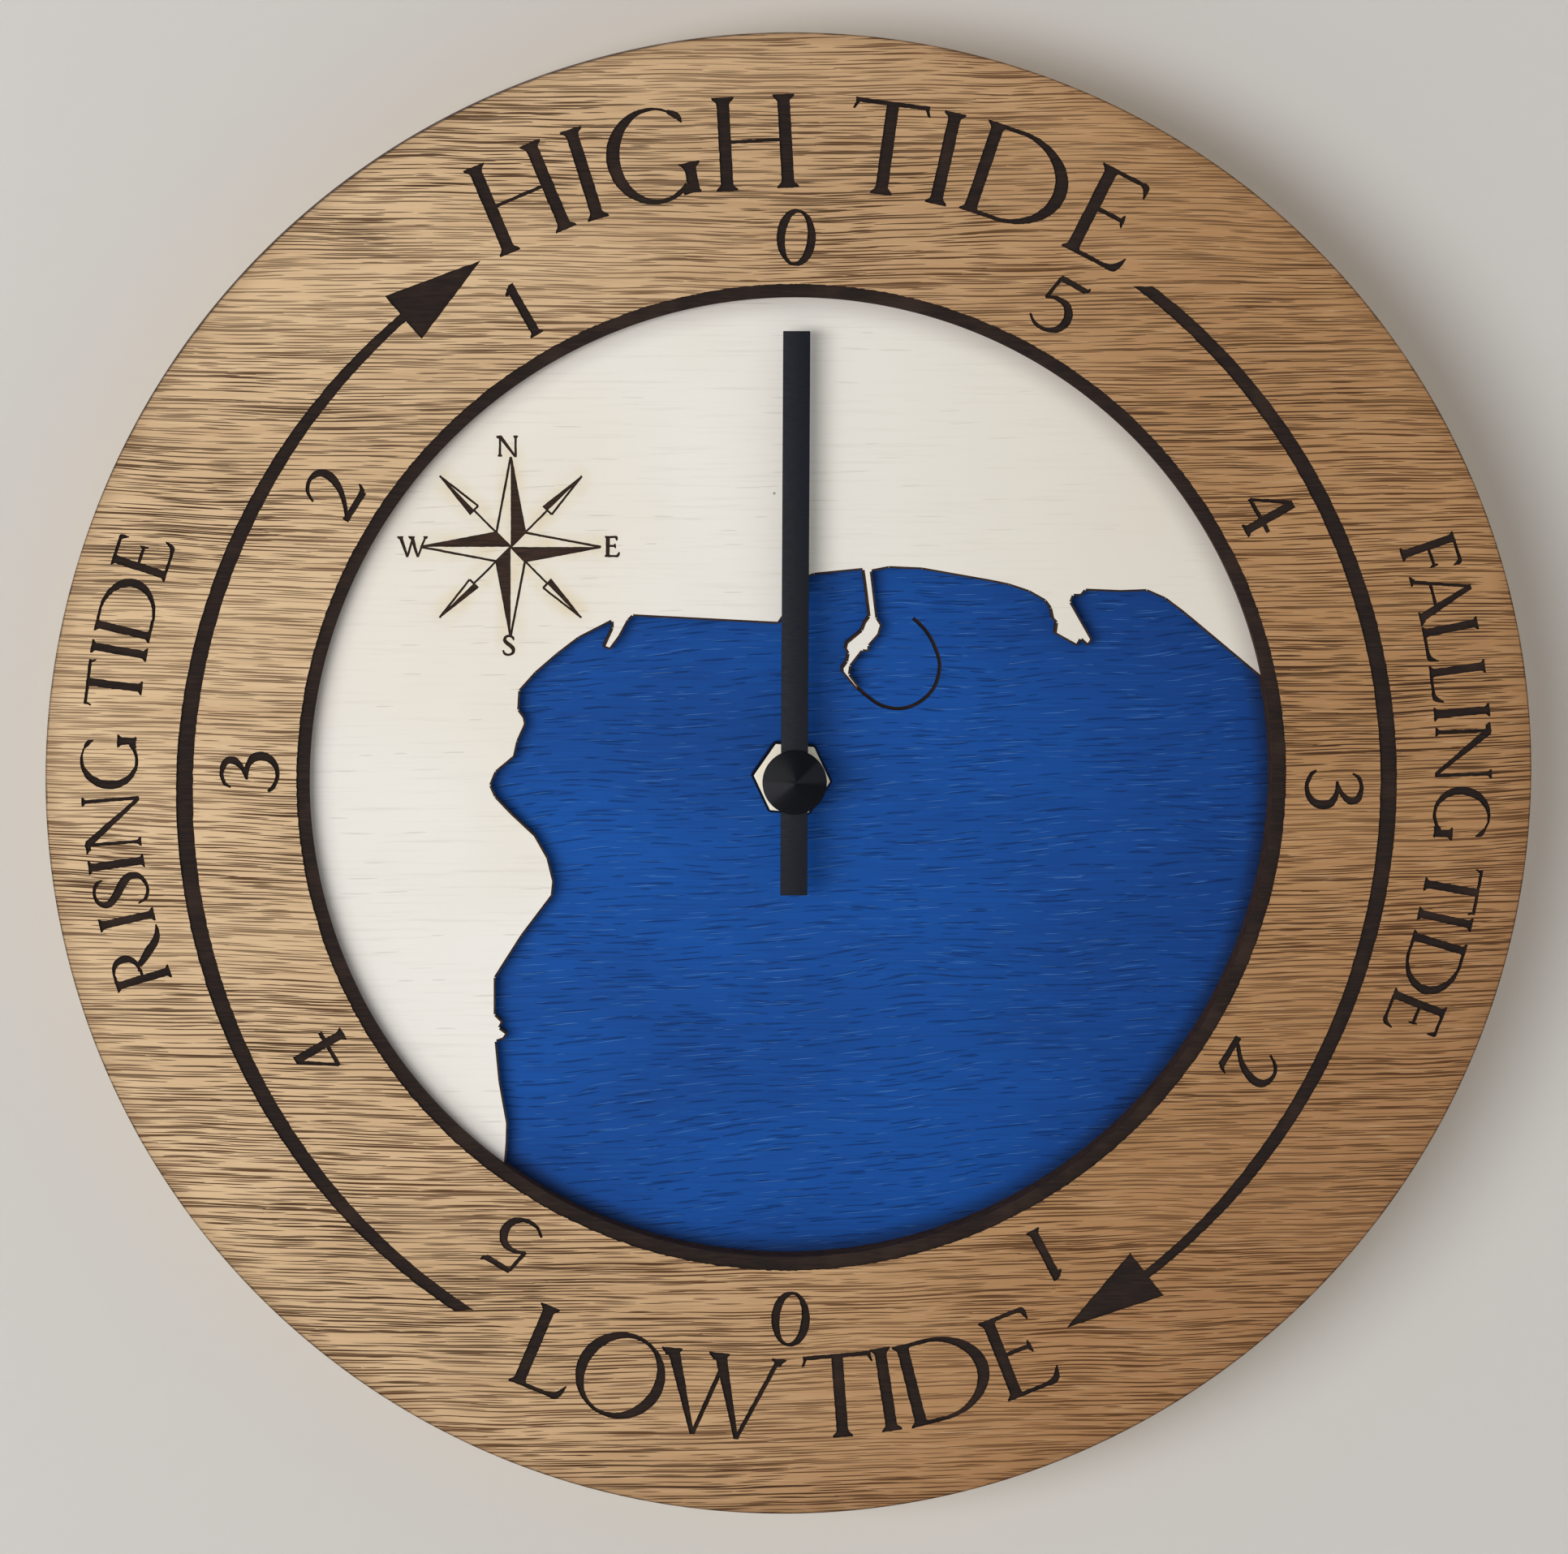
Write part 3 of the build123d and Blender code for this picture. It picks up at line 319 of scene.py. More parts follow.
def white_material():
    m = Mat("white_paint")
    streaks = m.noise(m.scaled(0.05, 0.3, 1.4, 0.02, 2.0), 4, 0.6)
    cloud = m.noise(m.scaled(0.02, 0.02, 0.02, 0.0, 6.0), 2)
    strokes = m.dashes(6, 2.6, 0.2, 9.0, lean=0.5, wave=4.0, share=0.3)
    colour = m.mix(m.band(cloud, 0.35, 0.7), rgb(237, 234, 228), rgb(232, 226, 215))
    colour = m.mix(m.band(streaks, 0.5, 0.75, 0.0, 0.35), colour, rgb(208, 201, 190))
    colour = m.mix(m.math("MULTIPLY", strokes, 0.3), colour, rgb(168, 160, 150))
    # Painted shade: darker towards the right, away from the lamp
    colour = m.mix(m.band(m.axis("X"), -30, 70, 0.0, 0.7), colour, rgb(216, 209, 195))
    # Pale scorch along the arms of the rose and about its letters
    x = m.math("SUBTRACT", m.axis("X"), ROSE_CENTRE[0])
    z = m.math("SUBTRACT", m.axis("Z"), ROSE_CENTRE[1])
    rising = m.math("MULTIPLY", m.math("ABSOLUTE", m.math("SUBTRACT", x, z)), math.sqrt(0.5))
    falling = m.math("MULTIPLY", m.math("ABSOLUTE", m.math("ADD", x, z)), math.sqrt(0.5))
    near = m.math("MINIMUM", m.math("ABSOLUTE", x), m.math("ABSOLUTE", z))
    near = m.math("MINIMUM", near, m.math("MINIMUM", rising, falling))
    patchy = m.band(m.noise(m.scaled(0.25, 0.25, 0.25, 0.0, 31.0), 3), 0.3, 0.7, 0.25, 1.0)
    inside = m.band(m.length(x, z), 15.5, 19.0, 1.0, 0.0)
    scorch = m.math("MULTIPLY", m.band(near, 0.4, 3.4, 1.0, 0.0), inside)
    colour = m.mix(m.math("MULTIPLY", m.math("MULTIPLY", scorch, patchy), 0.5), colour, rgb(216, 196, 146))
    # Painted shade under the ring's overhang along the opening, with some smoke stain
    smoke_and_shade = m.band(m.radius(), OPENING_RADIUS - 4.5, OPENING_RADIUS, 0.0, 0.34)
    colour = m.mix(smoke_and_shade, colour, rgb(142, 132, 134))
    # A few dark specks
    cells = m.voronoi(m.scaled(0.075, 0.075, 0.075, 0.0, 4.0))
    specks = m.band(cells, 0.012, 0.03, 1.0, 0.0)
    colour = m.mix(m.math("MULTIPLY", specks, 0.85), colour, rgb(70, 62, 54))
    m.set(Base_Color=colour, Roughness=0.5, Specular_IOR_Level=0.3)
    m.bump(m.math("SUBTRACT", streaks, m.math("MULTIPLY", specks, 0.4)), 0.05, 0.5)
    return m.mat


def blue_material():
    m = Mat("blue_paint")
    cloud = m.noise(m.scaled(0.015, 0.05, 0.03, 0.0, 1.0), 3)
    colour = m.mix(m.band(cloud, 0.3, 0.7), rgb(4, 80, 166), rgb(2, 66, 142))
    # Painted shade: darker towards the right, away from the lamp
    colour = m.mix(m.band(m.axis("X"), -30, 80, 0.0, 0.45), colour, rgb(2, 44, 106))
    grain = m.noise(m.scaled(0.09, 0.4, 3.2, -0.04, 19.0), 4, 0.65)
    pale = m.greatest([m.dashes(7.0, 1.7, 0.13, 5.1, lean=4.5, wave=9.0, share=0.4),
                       m.dashes(4.0, 1.2, 0.1, 23.7, lean=3.5, wave=9.0, share=0.4)])
    deep = m.greatest([m.dashes(8.0, 1.6, 0.2, 13.3, lean=4.0, wave=9.0, share=0.5),
                       m.dashes(5.0, 1.1, 0.14, 37.9, lean=3.0, wave=9.0, share=0.5)])
    colour = m.mix(m.band(grain, 0.5, 0.75, 0.0, 0.5), colour, rgb(2, 40, 96))
    colour = m.mix(m.band(grain, 0.28, 0.48, 0.3, 0.0), colour, rgb(20, 88, 170))
    colour = m.mix(m.math("MULTIPLY", deep, 0.6), colour, rgb(3, 30, 78))
    colour = m.mix(m.math("MULTIPLY", pale, 0.38), colour, rgb(86, 138, 204))
    # Painted shade along the opening, under the overhang of the plates above, and burnt plies on the cut
    # edges
    # Painted shade: darker near the opening's edge
    soot_and_shade = m.band(m.radius(), OPENING_RADIUS - 3.5, OPENING_RADIUS + 0.2, 0.0, 0.65)
    colour = m.mix(soot_and_shade, colour, rgb(4, 12, 28))
    plies = burnt_plies(m, rgb(34, 22, 18), rgb(78, 52, 36), rgb(24, 17, 15))[0]
    m.set(Base_Color=m.mix(m.facing(), plies, colour), Roughness=0.5, Specular_IOR_Level=0.16)
    height = m.math("SUBTRACT", m.math("MULTIPLY", pale, 0.4), m.math("MULTIPLY", deep, 0.8))
    m.bump(height, 0.12, 0.7)
    return m.mat


def plain_material(name, colour, deep, roughness, grain, metallic=0.0, height=0.02, spread=0.5,
                   specular=0.5):
    """Moulded, rolled or turned stuff: two close tones in a fine or a drawn-out grain."""
    m = Mat(name)
    fine = m.noise(m.scaled(*grain), 4, 0.6)
    cloud = m.noise(m.scaled(0.05, 0.05, 0.05), 2)
    tone = m.mix(m.band(fine, 0.3, 0.75, 0.0, spread), colour, deep)
    tone = m.mix(m.band(cloud, 0.4, 0.7, 0.0, 0.3), tone, deep)
    m.set(Base_Color=tone, Metallic=metallic, Specular_IOR_Level=specular)
    m.set(Roughness=m.band(fine, 0.2, 0.8, roughness * 0.85, min(1.0, roughness * 1.15)))
    m.bump(fine, height)
    return m.mat


def spun_material(name, colour, deep, roughness, specular):
    """Turned metal: fine rings about the arbor axis, and a painted sheen in two opposite wedges across them.
    """
    m = Mat(name)
    reach = m.add("ShaderNodeCombineXYZ")
    m.join(m.math("MULTIPLY", m.radius(), 6), reach.inputs[0])
    rings = m.noise(reach.outputs[0], 3, 0.7)
    # Painted sheen: two opposite wedges lighter in the base colour
    turned = m.math("MULTIPLY", m.math("ARCTAN2", m.axis("Z"), m.axis("X")), 2.0)
    painted_sheen = m.band(m.math("SINE", m.math("ADD", turned, math.radians(50))), 0.55, 0.9, 0.0, 0.6)
    tone = m.mix(m.band(rings, 0.3, 0.7), colour, deep)
    m.set(Base_Color=m.mix(painted_sheen, tone, rgb(36, 37, 44)), Specular_IOR_Level=specular, Roughness=roughness,
          Anisotropic=0.8)
    tangent = m.add("ShaderNodeTangent", direction_type="RADIAL", axis="Y")
    m.join(tangent.outputs[0], m.bsdf.inputs["Tangent"])
    m.bump(rings, 0.01, 0.6)
    return m.mat


oak = oak_material()
char = char_material("burnt_wood", rgb(27, 18, 15), rgb(44, 30, 24))
brown_char = char_material("burnt_paint", rgb(40, 27, 20), rgb(66, 46, 34))
edge = edge_material()
birch = birch_material()
white = white_material()
blue = blue_material()
hand_black = plain_material("hand_black", rgb(15, 18, 30), rgb(11, 13, 22), 0.6, (0.8, 2.0, 3.0),
                            specular=0.25)
cap_black = spun_material("cap_black", rgb(13, 15, 22), rgb(8, 9, 14), 0.4, 0.1)
# Nut finish: near white, a painted highlight, for its bore, countersink and front face; a dark copy, painted
# shade, for its bevel, sides and rear
nickel = plain_material("nickel", rgb(255, 252, 238), rgb(252, 244, 224), 0.35, (0.3, 3.0, 3.0), 0.3, 0.004)
nickel_painted_shade = plain_material("nickel_painted_shade", rgb(66, 62, 60), rgb(44, 41, 42), 0.3, (0.3, 3.0, 3.0), 1.0,
                             0.004)
brass = plain_material("brass", rgb(206, 170, 96), rgb(176, 138, 70), 0.28, (4.0, 0.4, 4.0), 1.0, 0.01)
case_black = plain_material("case_black", rgb(30, 30, 32), rgb(22, 22, 24), 0.5, (6.0, 6.0, 6.0),
                            height=0.03)
acetal = plain_material("acetal", rgb(232, 231, 222), rgb(214, 212, 200), 0.4, (2.0, 2.0, 2.0))
steel = plain_material("steel", rgb(186, 188, 192), rgb(150, 152, 158), 0.32, (6.0, 6.0, 0.3), 1.0, 0.01)
ferrite = plain_material("ferrite", rgb(62, 58, 58), rgb(44, 41, 42), 0.6, (5.0, 5.0, 5.0))
copper = plain_material("copper_wire", rgb(196, 108, 62), rgb(140, 66, 34), 0.32, (9.0, 0.4, 0.4), 1.0,
                        0.05, 0.9)
board = plain_material("board_green", rgb(36, 92, 52), rgb(24, 70, 40), 0.3, (1.2, 1.2, 1.2))
resin = plain_material("resin", rgb(24, 24, 26), rgb(14, 14, 16), 0.2, (1.5, 1.5, 1.5))
can = plain_material("can", rgb(206, 207, 210), rgb(176, 178, 182), 0.25, (0.5, 4.0, 4.0), 1.0, 0.006)
rubber = plain_material("rubber", rgb(34, 34, 34), rgb(24, 24, 24), 0.75, (4.0, 4.0, 4.0))


def battery_material():
    m = Mat("battery_sleeve")
    x = m.axis("X")
    fine = m.noise(m.scaled(0.4, 6.0, 6.0), 3)
    colour = m.mix(m.band(fine, 0.3, 0.7), rgb(74, 96, 84), rgb(64, 84, 74))
    metal_end = m.math("MAXIMUM", m.band(x, -24.3, -24.1, 1.0, 0.0), m.band(x, 24.3, 24.5))
    stripe = m.math("MULTIPLY", m.band(x, -20.5, -20.3), m.band(x, -17.5, -17.3, 1.0, 0.0))
    colour = m.mix(stripe, colour, rgb(212, 212, 206))
    colour = m.mix(metal_end, colour, rgb(196, 197, 200))
    m.set(Base_Color=colour, Metallic=metal_end, Roughness=0.3)
    m.bump(fine, 0.01)
    return m.mat


finish_of = {
    "threaded_bush": brass, "hand_bush": brass, "rubber_gasket": rubber, "hanger": steel,
    "case_front": case_black, "case_back": case_black, "middle_plate": case_black, "train_bridge": case_black,
    "battery_cell": battery_material(), "contact_positive": steel, "contact_negative": steel,
    "circuit_board": board, "driver_chip": resin, "quartz_crystal": can, "stator": steel, "coil_core": steel,
    "coil_bobbin": acetal, "coil_winding": copper, "rotor_magnet": ferrite, "sea_plate": blue,
    "land_plate": white, "dial_ring": oak, "tide_hand": hand_black, "hand_cap": cap_black, "hex_nut": nickel,
}
for name, item in nodes.items():
    finish = finish_of.get(name, acetal)
    for slot in item.material_slots:
        slot.material = finish


# Outlines in the plane of the dial
def dial_point(radius, angle):
    turn = math.radians(angle)
    return (radius * math.sin(turn), radius * math.cos(turn))


def circle(radius, steps):
    turns = [2 * math.pi * k / steps for k in range(steps)]
    return [(radius * math.cos(turn), radius * math.sin(turn)) for turn in turns]


# Blender sets this noise up from the clock unless it is given a seed
RAG_SEED = 1
noise.seed_set(RAG_SEED)


def ragged(point, amount):
    """Moves a point a little, the same way each time, as a laser's burn does."""
    push = noise.noise_vector(Vector((point[0] * 1.7, point[1] * 1.7, 0.5)))
    return (point[0] + amount * push.x, point[1] + amount * push.y)


def divided(outline, step):
    """The outline with points added so that none of its runs is longer than a step."""
    out = []
    for k, start in enumerate(outline):
        end = outline[(k + 1) % len(outline)]
        count = max(1, math.ceil(math.dist(start, end) / step))
        for j in range(count):
            share = j / count
            out.append((start[0] + (end[0] - start[0]) * share, start[1] + (end[1] - start[1]) * share))
    return out


def add_mesh(name, verts, faces, materials, indices=None, smooth=False):
    mesh = bpy.data.meshes.new(name)
    mesh.from_pydata([tuple(v) for v in verts], [], faces)
    for item in materials:
        mesh.materials.append(item)
    if indices:
        mesh.polygons.foreach_set("material_index", indices)
    mesh.polygons.foreach_set("use_smooth", [smooth] * len(mesh.polygons))
    mesh.validate()
    mesh.update()
    obj = bpy.data.objects.new(name, mesh)
    bpy.context.collection.objects.link(obj)
    return obj


def rework(obj, *steps):
    """Runs steps on the object's mesh as a bmesh, and writes it back."""
    work = bmesh.new()
    work.from_mesh(obj.data)
    for step in steps:
        step(work)
    work.to_mesh(obj.data)
    work.free()


def weld(work):
    bmesh.ops.remove_doubles(work, verts=work.verts, dist=1e-7)


def face_outwards(work):
    bmesh.ops.recalc_face_normals(work, faces=work.faces)


def anticlockwise(outline):
    area = sum(a[0] * b[1] - b[0] * a[1] for a, b in zip(outline, outline[1:] + outline[:1]))
    return outline if area > 0 else outline[::-1]


# The materials of a carved plate: its face, the floor and walls of its cuts, its cut edges and its back
FACE, CUT, EDGE, BACK = range(4)
MERGE = 1e-5
SAME_HEIGHT = 1e-4


def relief(name, solid, voids, cuts, rear, front, materials):
    """Plate with an outline, voids through it, and cuts of (outline, depth) in its face."""
    outlines = [anticlockwise(outline) for outline in (solid, *voids, *[outline for outline, depth in cuts])]
    depths = [depth for outline, depth in cuts]
    points = []
    loops = []
    for outline in outlines:
        loops.append(list(range(len(points), len(points) + len(outline))))
        points += [Vector(p) for p in outline]
    flat, edges, tris, _, _, owners = delaunay_2d_cdt(points, [], loops, 0, MERGE)
    level = {}
    first_cut = 1 + len(voids)
    for k, inside in enumerate(owners):
        if 0 not in inside or any(0 < i < first_cut for i in inside):
            continue
        level[k] = max([depths[i - first_cut] for i in inside if i >= first_cut], default=0.0)
    sides = {}
    for k in level:
        tri = tris[k]
        for j in range(len(tri)):
            sides.setdefault(frozenset((tri[j], tri[j - 1])), []).append(k)
    verts = []
    at = {}
    faces = []
    kinds = []

    def vert(point, height):
        key = (point, round(height, 4))
        if key not in at:
            at[key] = len(verts)
            verts.append((flat[point].x * MM, -height * MM, flat[point].y * MM))
        return at[key]

    for k, depth in level.items():
        faces.append([vert(p, front - depth) for p in tris[k]])
        kinds.append(CUT if depth else FACE)
        faces.append([vert(p, rear) for p in reversed(tris[k])])
        kinds.append(BACK)
    for pair, owners_of in sides.items():
        a, b = pair
        heights = sorted(front - level[k] for k in owners_of)
        if len(heights) == 1:
            heights = [rear, heights[0]]
            kind = EDGE
        elif heights[1] - heights[0] < SAME_HEIGHT:
            continue
        else:
            kind = CUT
        faces.append([vert(a, heights[0]), vert(b, heights[0]), vert(b, heights[1]), vert(a, heights[1])])
        kinds.append(kind)
    obj = add_mesh(name, verts, faces, materials, kinds)
    rework(obj, face_outwards)
    return obj


# Roman capitals and old-style figures, drawn as overlapping strokes on a cap height of 1
STEM = 0.135
HAIR = 0.048
SERIF = 0.052
SERIF_THICK = 0.024
BRACKET = 0.085


def foot(x, y, width, sign, serif=SERIF):
    """Bracketed serif at the end of a stem; sign is 1 for a foot and -1 for a head."""
    half = width / 2
    points = [(x - half - serif, y), (x + half + serif, y), (x + half + serif * 0.9, y + sign * SERIF_THICK)]
    curve = [(0.45, 0.32), (0.18, 0.55), (0.04, 0.8), (0.0, 1.0)]
    rise = BRACKET - SERIF_THICK
    right = [(x + half + serif * a, y + sign * (SERIF_THICK + rise * b)) for a, b in curve]
    left = [(2 * x - px, py) for px, py in reversed(right)]
    return points + right + left + [(x - half - serif * 0.9, y + sign * SERIF_THICK)]


def stem(x, low=0.0, high=1.0, width=STEM, feet=True, heads=True):
    parts = [[(x - width / 2, low), (x + width / 2, low), (x + width / 2, high), (x - width / 2, high)]]
    if feet:
        parts.append(foot(x, low, width, 1))
    if heads:
        parts.append(foot(x, high, width, -1))
    return parts


def slant(start, end, width, end_width=None):
    """Straight stroke whose ends are cut level."""
    half = width / 2
    end_half = (width if end_width is None else end_width) / 2
    return [[(start[0] - half, start[1]), (start[0] + half, start[1]), (end[0] + end_half, end[1]),
             (end[0] - end_half, end[1])]]


def bar(left, right, y, thick=HAIR):
    return [[(left, y - thick / 2), (right, y - thick / 2), (right, y + thick / 2), (left, y + thick / 2)]]


def beak(x, y, down, lean, width):
    """Small serif that hangs from an arm's end and leans outwards, to the left when width is negative."""
    return [[(x - width, y), (x, y), (x + lean, y - down), (x + lean - width * 0.5, y - down)]]


def bowl(outer, inner, start, end, steps=26):
    """Part of a ring between two ellipses (centre x, y, radius x, y, tilt), by angles from the right."""
    rows = []
    for k in range(steps + 1):
        angle = math.radians(start + (end - start) * k / steps)
        row = []
        for cx, cy, rx, ry, tilt in (outer, inner):
            t = math.radians(tilt)
            px = rx * math.cos(angle - t)
            py = ry * math.sin(angle - t)
            row.append((cx + px * math.cos(t) - py * math.sin(t), cy + px * math.sin(t) + py * math.cos(t)))
        rows.append(row)
    return [[a[0], b[0], b[1], a[1]] for a, b in zip(rows, rows[1:])]


def ribbon(points, steps=7):
    """Curved stroke through (x, y, width) points."""
    path = [points[0], *points, points[-1]]
    samples = []
    for a, b, c, d in zip(path, path[1:], path[2:], path[3:]):
        for k in range(steps):
            t = k / steps
            samples.append([
                0.5 * (2 * q + (r - p) * t + (2 * p - 5 * q + 4 * r - s) * t**2
                       + (3 * q - p - 3 * r + s) * t**3)
                for p, q, r, s in zip(a, b, c, d)
            ])
    samples.append(list(points[-1]))
    rows = []
    for k, (x, y, width) in enumerate(samples):
        before = samples[max(0, k - 1)]
        after = samples[min(len(samples) - 1, k + 1)]
        dx, dy = after[0] - before[0], after[1] - before[1]
        size = math.hypot(dx, dy) or 1.0
        off = (-dy / size * width / 2, dx / size * width / 2)
        rows.append(((x + off[0], y + off[1]), (x - off[0], y - off[1])))
    return [[a[0], b[0], b[1], a[1]] for a, b in zip(rows, rows[1:])]


GLYPHS = {
    "I": stem(0),
    "H": stem(-0.325) + stem(0.325) + bar(-0.325, 0.325, 0.52, 0.038),
    "T": stem(0, heads=False, high=0.99) + bar(-0.4, 0.4, 0.972) + beak(-0.38, 0.995, 0.12, -0.04, -0.05)
    + beak(0.38, 0.995, 0.12, 0.04, 0.05),
    "L": stem(-0.2) + bar(-0.2, 0.24, 0.024)
    + ribbon([(0.16, 0.024, 0.05), (0.27, 0.05, 0.08), (0.34, 0.19, 0.012)]),
    "E": stem(-0.22) + bar(-0.22, 0.2, 0.976) + bar(-0.22, 0.12, 0.53) + bar(-0.22, 0.22, 0.024)
    + ribbon([(0.14, 0.976, 0.048), (0.2, 0.955, 0.075), (0.225, 0.84, 0.014)])
    + ribbon([(0.135, 0.6, 0.014), (0.13, 0.53, 0.05), (0.15, 0.45, 0.014)])
    + ribbon([(0.16, 0.024, 0.048), (0.28, 0.05, 0.08), (0.35, 0.19, 0.014)]),
    "F": stem(-0.17) + bar(-0.17, 0.26, 0.976) + bar(-0.17, 0.19, 0.5)
    + ribbon([(0.2, 0.976, 0.048), (0.27, 0.955, 0.075), (0.295, 0.84, 0.014)])
    + ribbon([(0.195, 0.57, 0.014), (0.19, 0.5, 0.05), (0.21, 0.42, 0.014)]),
    "D": stem(-0.38) + bowl((-0.1, 0.5, 0.655, 0.5, 0), (-0.13, 0.5, 0.54, 0.458, -5), -92, 92, 34)
    + bar(-0.38, -0.09, 0.977, 0.045) + bar(-0.38, -0.09, 0.023, 0.045),
    "O": bowl((0, 0.5, 0.53, 0.515, 0), (0, 0.5, 0.4, 0.475, -24), 0, 360, 60),
    "G": bowl((0.0, 0.5, 0.5, 0.515, 0), (0.035, 0.505, 0.39, 0.472, -8), 44, 310, 46)
    + ribbon([(0.24, 0.935, 0.045), (0.33, 0.87, 0.075), (0.37, 0.79, 0.014)])
    + stem(0.36, 0.04, 0.36, 0.125, feet=False)
    + ribbon([(0.24, 0.045, 0.05), (0.34, 0.065, 0.07), (0.43, 0.03, 0.03)]),
    "W": slant((-0.6, 0.98), (-0.26, -0.01), 0.145, 0.05) + slant((-0.26, -0.01), (0.01, 0.86), 0.05, 0.055)
    + slant((-0.04, 0.98), (0.26, -0.01), 0.145, 0.05) + slant((0.26, -0.01), (0.65, 0.98), 0.05, 0.055)
    + [foot(-0.61, 0.99, 0.14, -1)] + [foot(-0.05, 0.99, 0.14, -1)] + [foot(0.655, 0.99, 0.06, -1, 0.055)],
    "N": stem(-0.39, 0, 1, 0.055, heads=False) + stem(0.39, 0.0, 1, 0.055, feet=False)
    + slant((-0.41, 0.99), (0.385, -0.02), 0.17, 0.07) + [foot(-0.44, 0.99, 0.1, -1)],
    "A": slant((-0.35, 0.0), (0.0, 1.0), 0.055, 0.045) + slant((0.34, 0.0), (0.01, 1.03), 0.15, 0.09)
    + [foot(-0.35, 0, 0.055, 1, 0.06)] + [foot(0.34, 0, 0.14, 1)] + bar(-0.24, 0.21, 0.34),
    "R": stem(-0.27) + bowl((-0.08, 0.745, 0.31, 0.255, 0), (-0.09, 0.75, 0.195, 0.21, -6), -100, 92)
    + bar(-0.27, -0.08, 0.977, 0.045) + bar(-0.27, -0.1, 0.5, 0.045)
    + ribbon([(-0.02, 0.5, 0.1), (0.17, 0.27, 0.14), (0.38, 0.05, 0.11), (0.6, 0.0, 0.02)]),
    "S": ribbon([(0.24, 0.79, 0.02), (0.2, 0.9, 0.06), (0.03, 0.975, 0.05), (-0.15, 0.92, 0.075),
                 (-0.2, 0.76, 0.12), (-0.07, 0.6, 0.14), (0.1, 0.47, 0.145), (0.23, 0.31, 0.13),
                 (0.2, 0.12, 0.085), (0.0, 0.02, 0.05), (-0.2, 0.08, 0.06), (-0.27, 0.23, 0.02)]),
    "0": bowl((0, 0.5, 0.345, 0.505, 0), (0, 0.5, 0.205, 0.455, -6), 0, 360, 52),
    "1": stem(0, 0, 0.97, 0.145, heads=False)
    + [[(-0.13, 0.86), (-0.13, 0.9), (0.0, 1.01), (0.0725, 1.01), (0.0725, 0.9), (-0.03, 0.88)]],
    "2": ribbon([(-0.34, 0.73, 0.03), (-0.24, 0.9, 0.05), (-0.05, 0.98, 0.06), (0.15, 0.9, 0.12),
                 (0.2, 0.7, 0.14), (0.09, 0.42, 0.1), (-0.1, 0.2, 0.065), (-0.31, 0.03, 0.05)])
    + bar(-0.32, 0.28, 0.052, 0.104) + ribbon([(0.2, 0.06, 0.1), (0.3, 0.09, 0.07), (0.36, 0.19, 0.014)]),
    "3": ribbon([(-0.28, 0.84, 0.025), (-0.2, 0.95, 0.055), (-0.03, 1.0, 0.06), (0.17, 0.94, 0.11),
                 (0.21, 0.79, 0.12), (0.08, 0.64, 0.07), (-0.1, 0.56, 0.04)])
    + ribbon([(-0.13, 0.555, 0.04), (0.1, 0.54, 0.08), (0.27, 0.42, 0.14), (0.28, 0.21, 0.14),
              (0.15, 0.05, 0.095), (-0.06, 0.0, 0.06), (-0.25, 0.07, 0.06), (-0.33, 0.16, 0.035)]),
    "4": slant((0.12, 0.0), (0.12, 1.0), 0.14) + slant((-0.33, 0.37), (0.09, 0.99), 0.055, 0.07)
    + bar(-0.35, 0.34, 0.36, 0.062) + [foot(0.12, 0, 0.14, 1, 0.05)],
    "5": bar(-0.2, 0.3, 0.955, 0.09) + ribbon([(0.26, 0.955, 0.09), (0.34, 0.98, 0.05), (0.36, 1.03, 0.014)])
    + slant((-0.27, 0.53), (-0.19, 0.96), 0.055)
    + ribbon([(-0.28, 0.53, 0.035), (-0.08, 0.6, 0.07), (0.14, 0.56, 0.12), (0.26, 0.36, 0.145),
              (0.2, 0.13, 0.11), (0.0, 0.01, 0.06), (-0.22, 0.02, 0.05), (-0.38, 0.13, 0.03)]),
}


def grown(outline, amount):
    """The outline with its sides moved outwards."""
    outline = anticlockwise(outline)
    if not amount:
        return outline
    out = []
    for k, point in enumerate(outline):
        here = Vector(point)
        before = (here - Vector(outline[k - 1])).normalized()
        after = (Vector(outline[(k + 1) % len(outline)]) - here).normalized()
        way = before + after
        if way.length > 1e-6:
            way.normalize()
            here += Vector((way.y, -way.x)) * amount
        out.append(tuple(here))
    return out


def lettering(items, centre, radius, height, inward=False, bold=0.0):
    """Strokes of (letter, dial angle) pairs that stand on a circle; the tops face out, or in."""
    parts = []
    sign = -1 if inward else 1
    middle = Vector(centre)
    for letter, angle in items:
        place = Vector(dial_point(radius, angle)) - middle
        out = place.normalized()
        along = Vector((out.y, -out.x))
        foot_at = middle + out * radius
        scale = sign * height
        for part in GLYPHS[letter]:
            stroke = [tuple(foot_at + out * (y * scale) + along * (x * scale)) for x, y in part]
            parts.append(grown(stroke, bold))
    return parts


# The legends' circles aren't all concentric with the ring
legends = lettering(
    [("H", -25.3), ("I", -19.2), ("G", -12.9), ("H", -3.7), ("T", 8.1), ("I", 13.4), ("D", 20.1),
     ("E", 29.1)], centre=(0, -9.4), radius=108.5, height=15.6)
legends += lettering(
    [("L", 202.8), ("O", 195.9), ("W", 186.6), ("T", 175.4), ("I", 171.1), ("D", 165.7), ("E", 158.2)],
    centre=(0, 0), radius=112.2, height=14.4, inward=True, bold=0.04)
legends += lettering(
    [("R", -105.6), ("I", -101.7), ("S", -99.2), ("I", -96.9), ("N", -93.3), ("G", -88.2), ("T", -81.8),
     ("I", -78.9), ("D", -75.4), ("E", -70.7)], centre=(0, 2.05), radius=109.7, height=9.35, bold=0.06)
legends += lettering(
    [("F", 70.5), ("A", 73.9), ("L", 77.9), ("L", 81.5), ("I", 84.2), ("N", 87.7), ("G", 93.0), ("T", 99.4),
     ("I", 102.1), ("D", 106.1), ("E", 110.8)], centre=(0, 1.2), radius=108.7, height=9.45, bold=0.07)
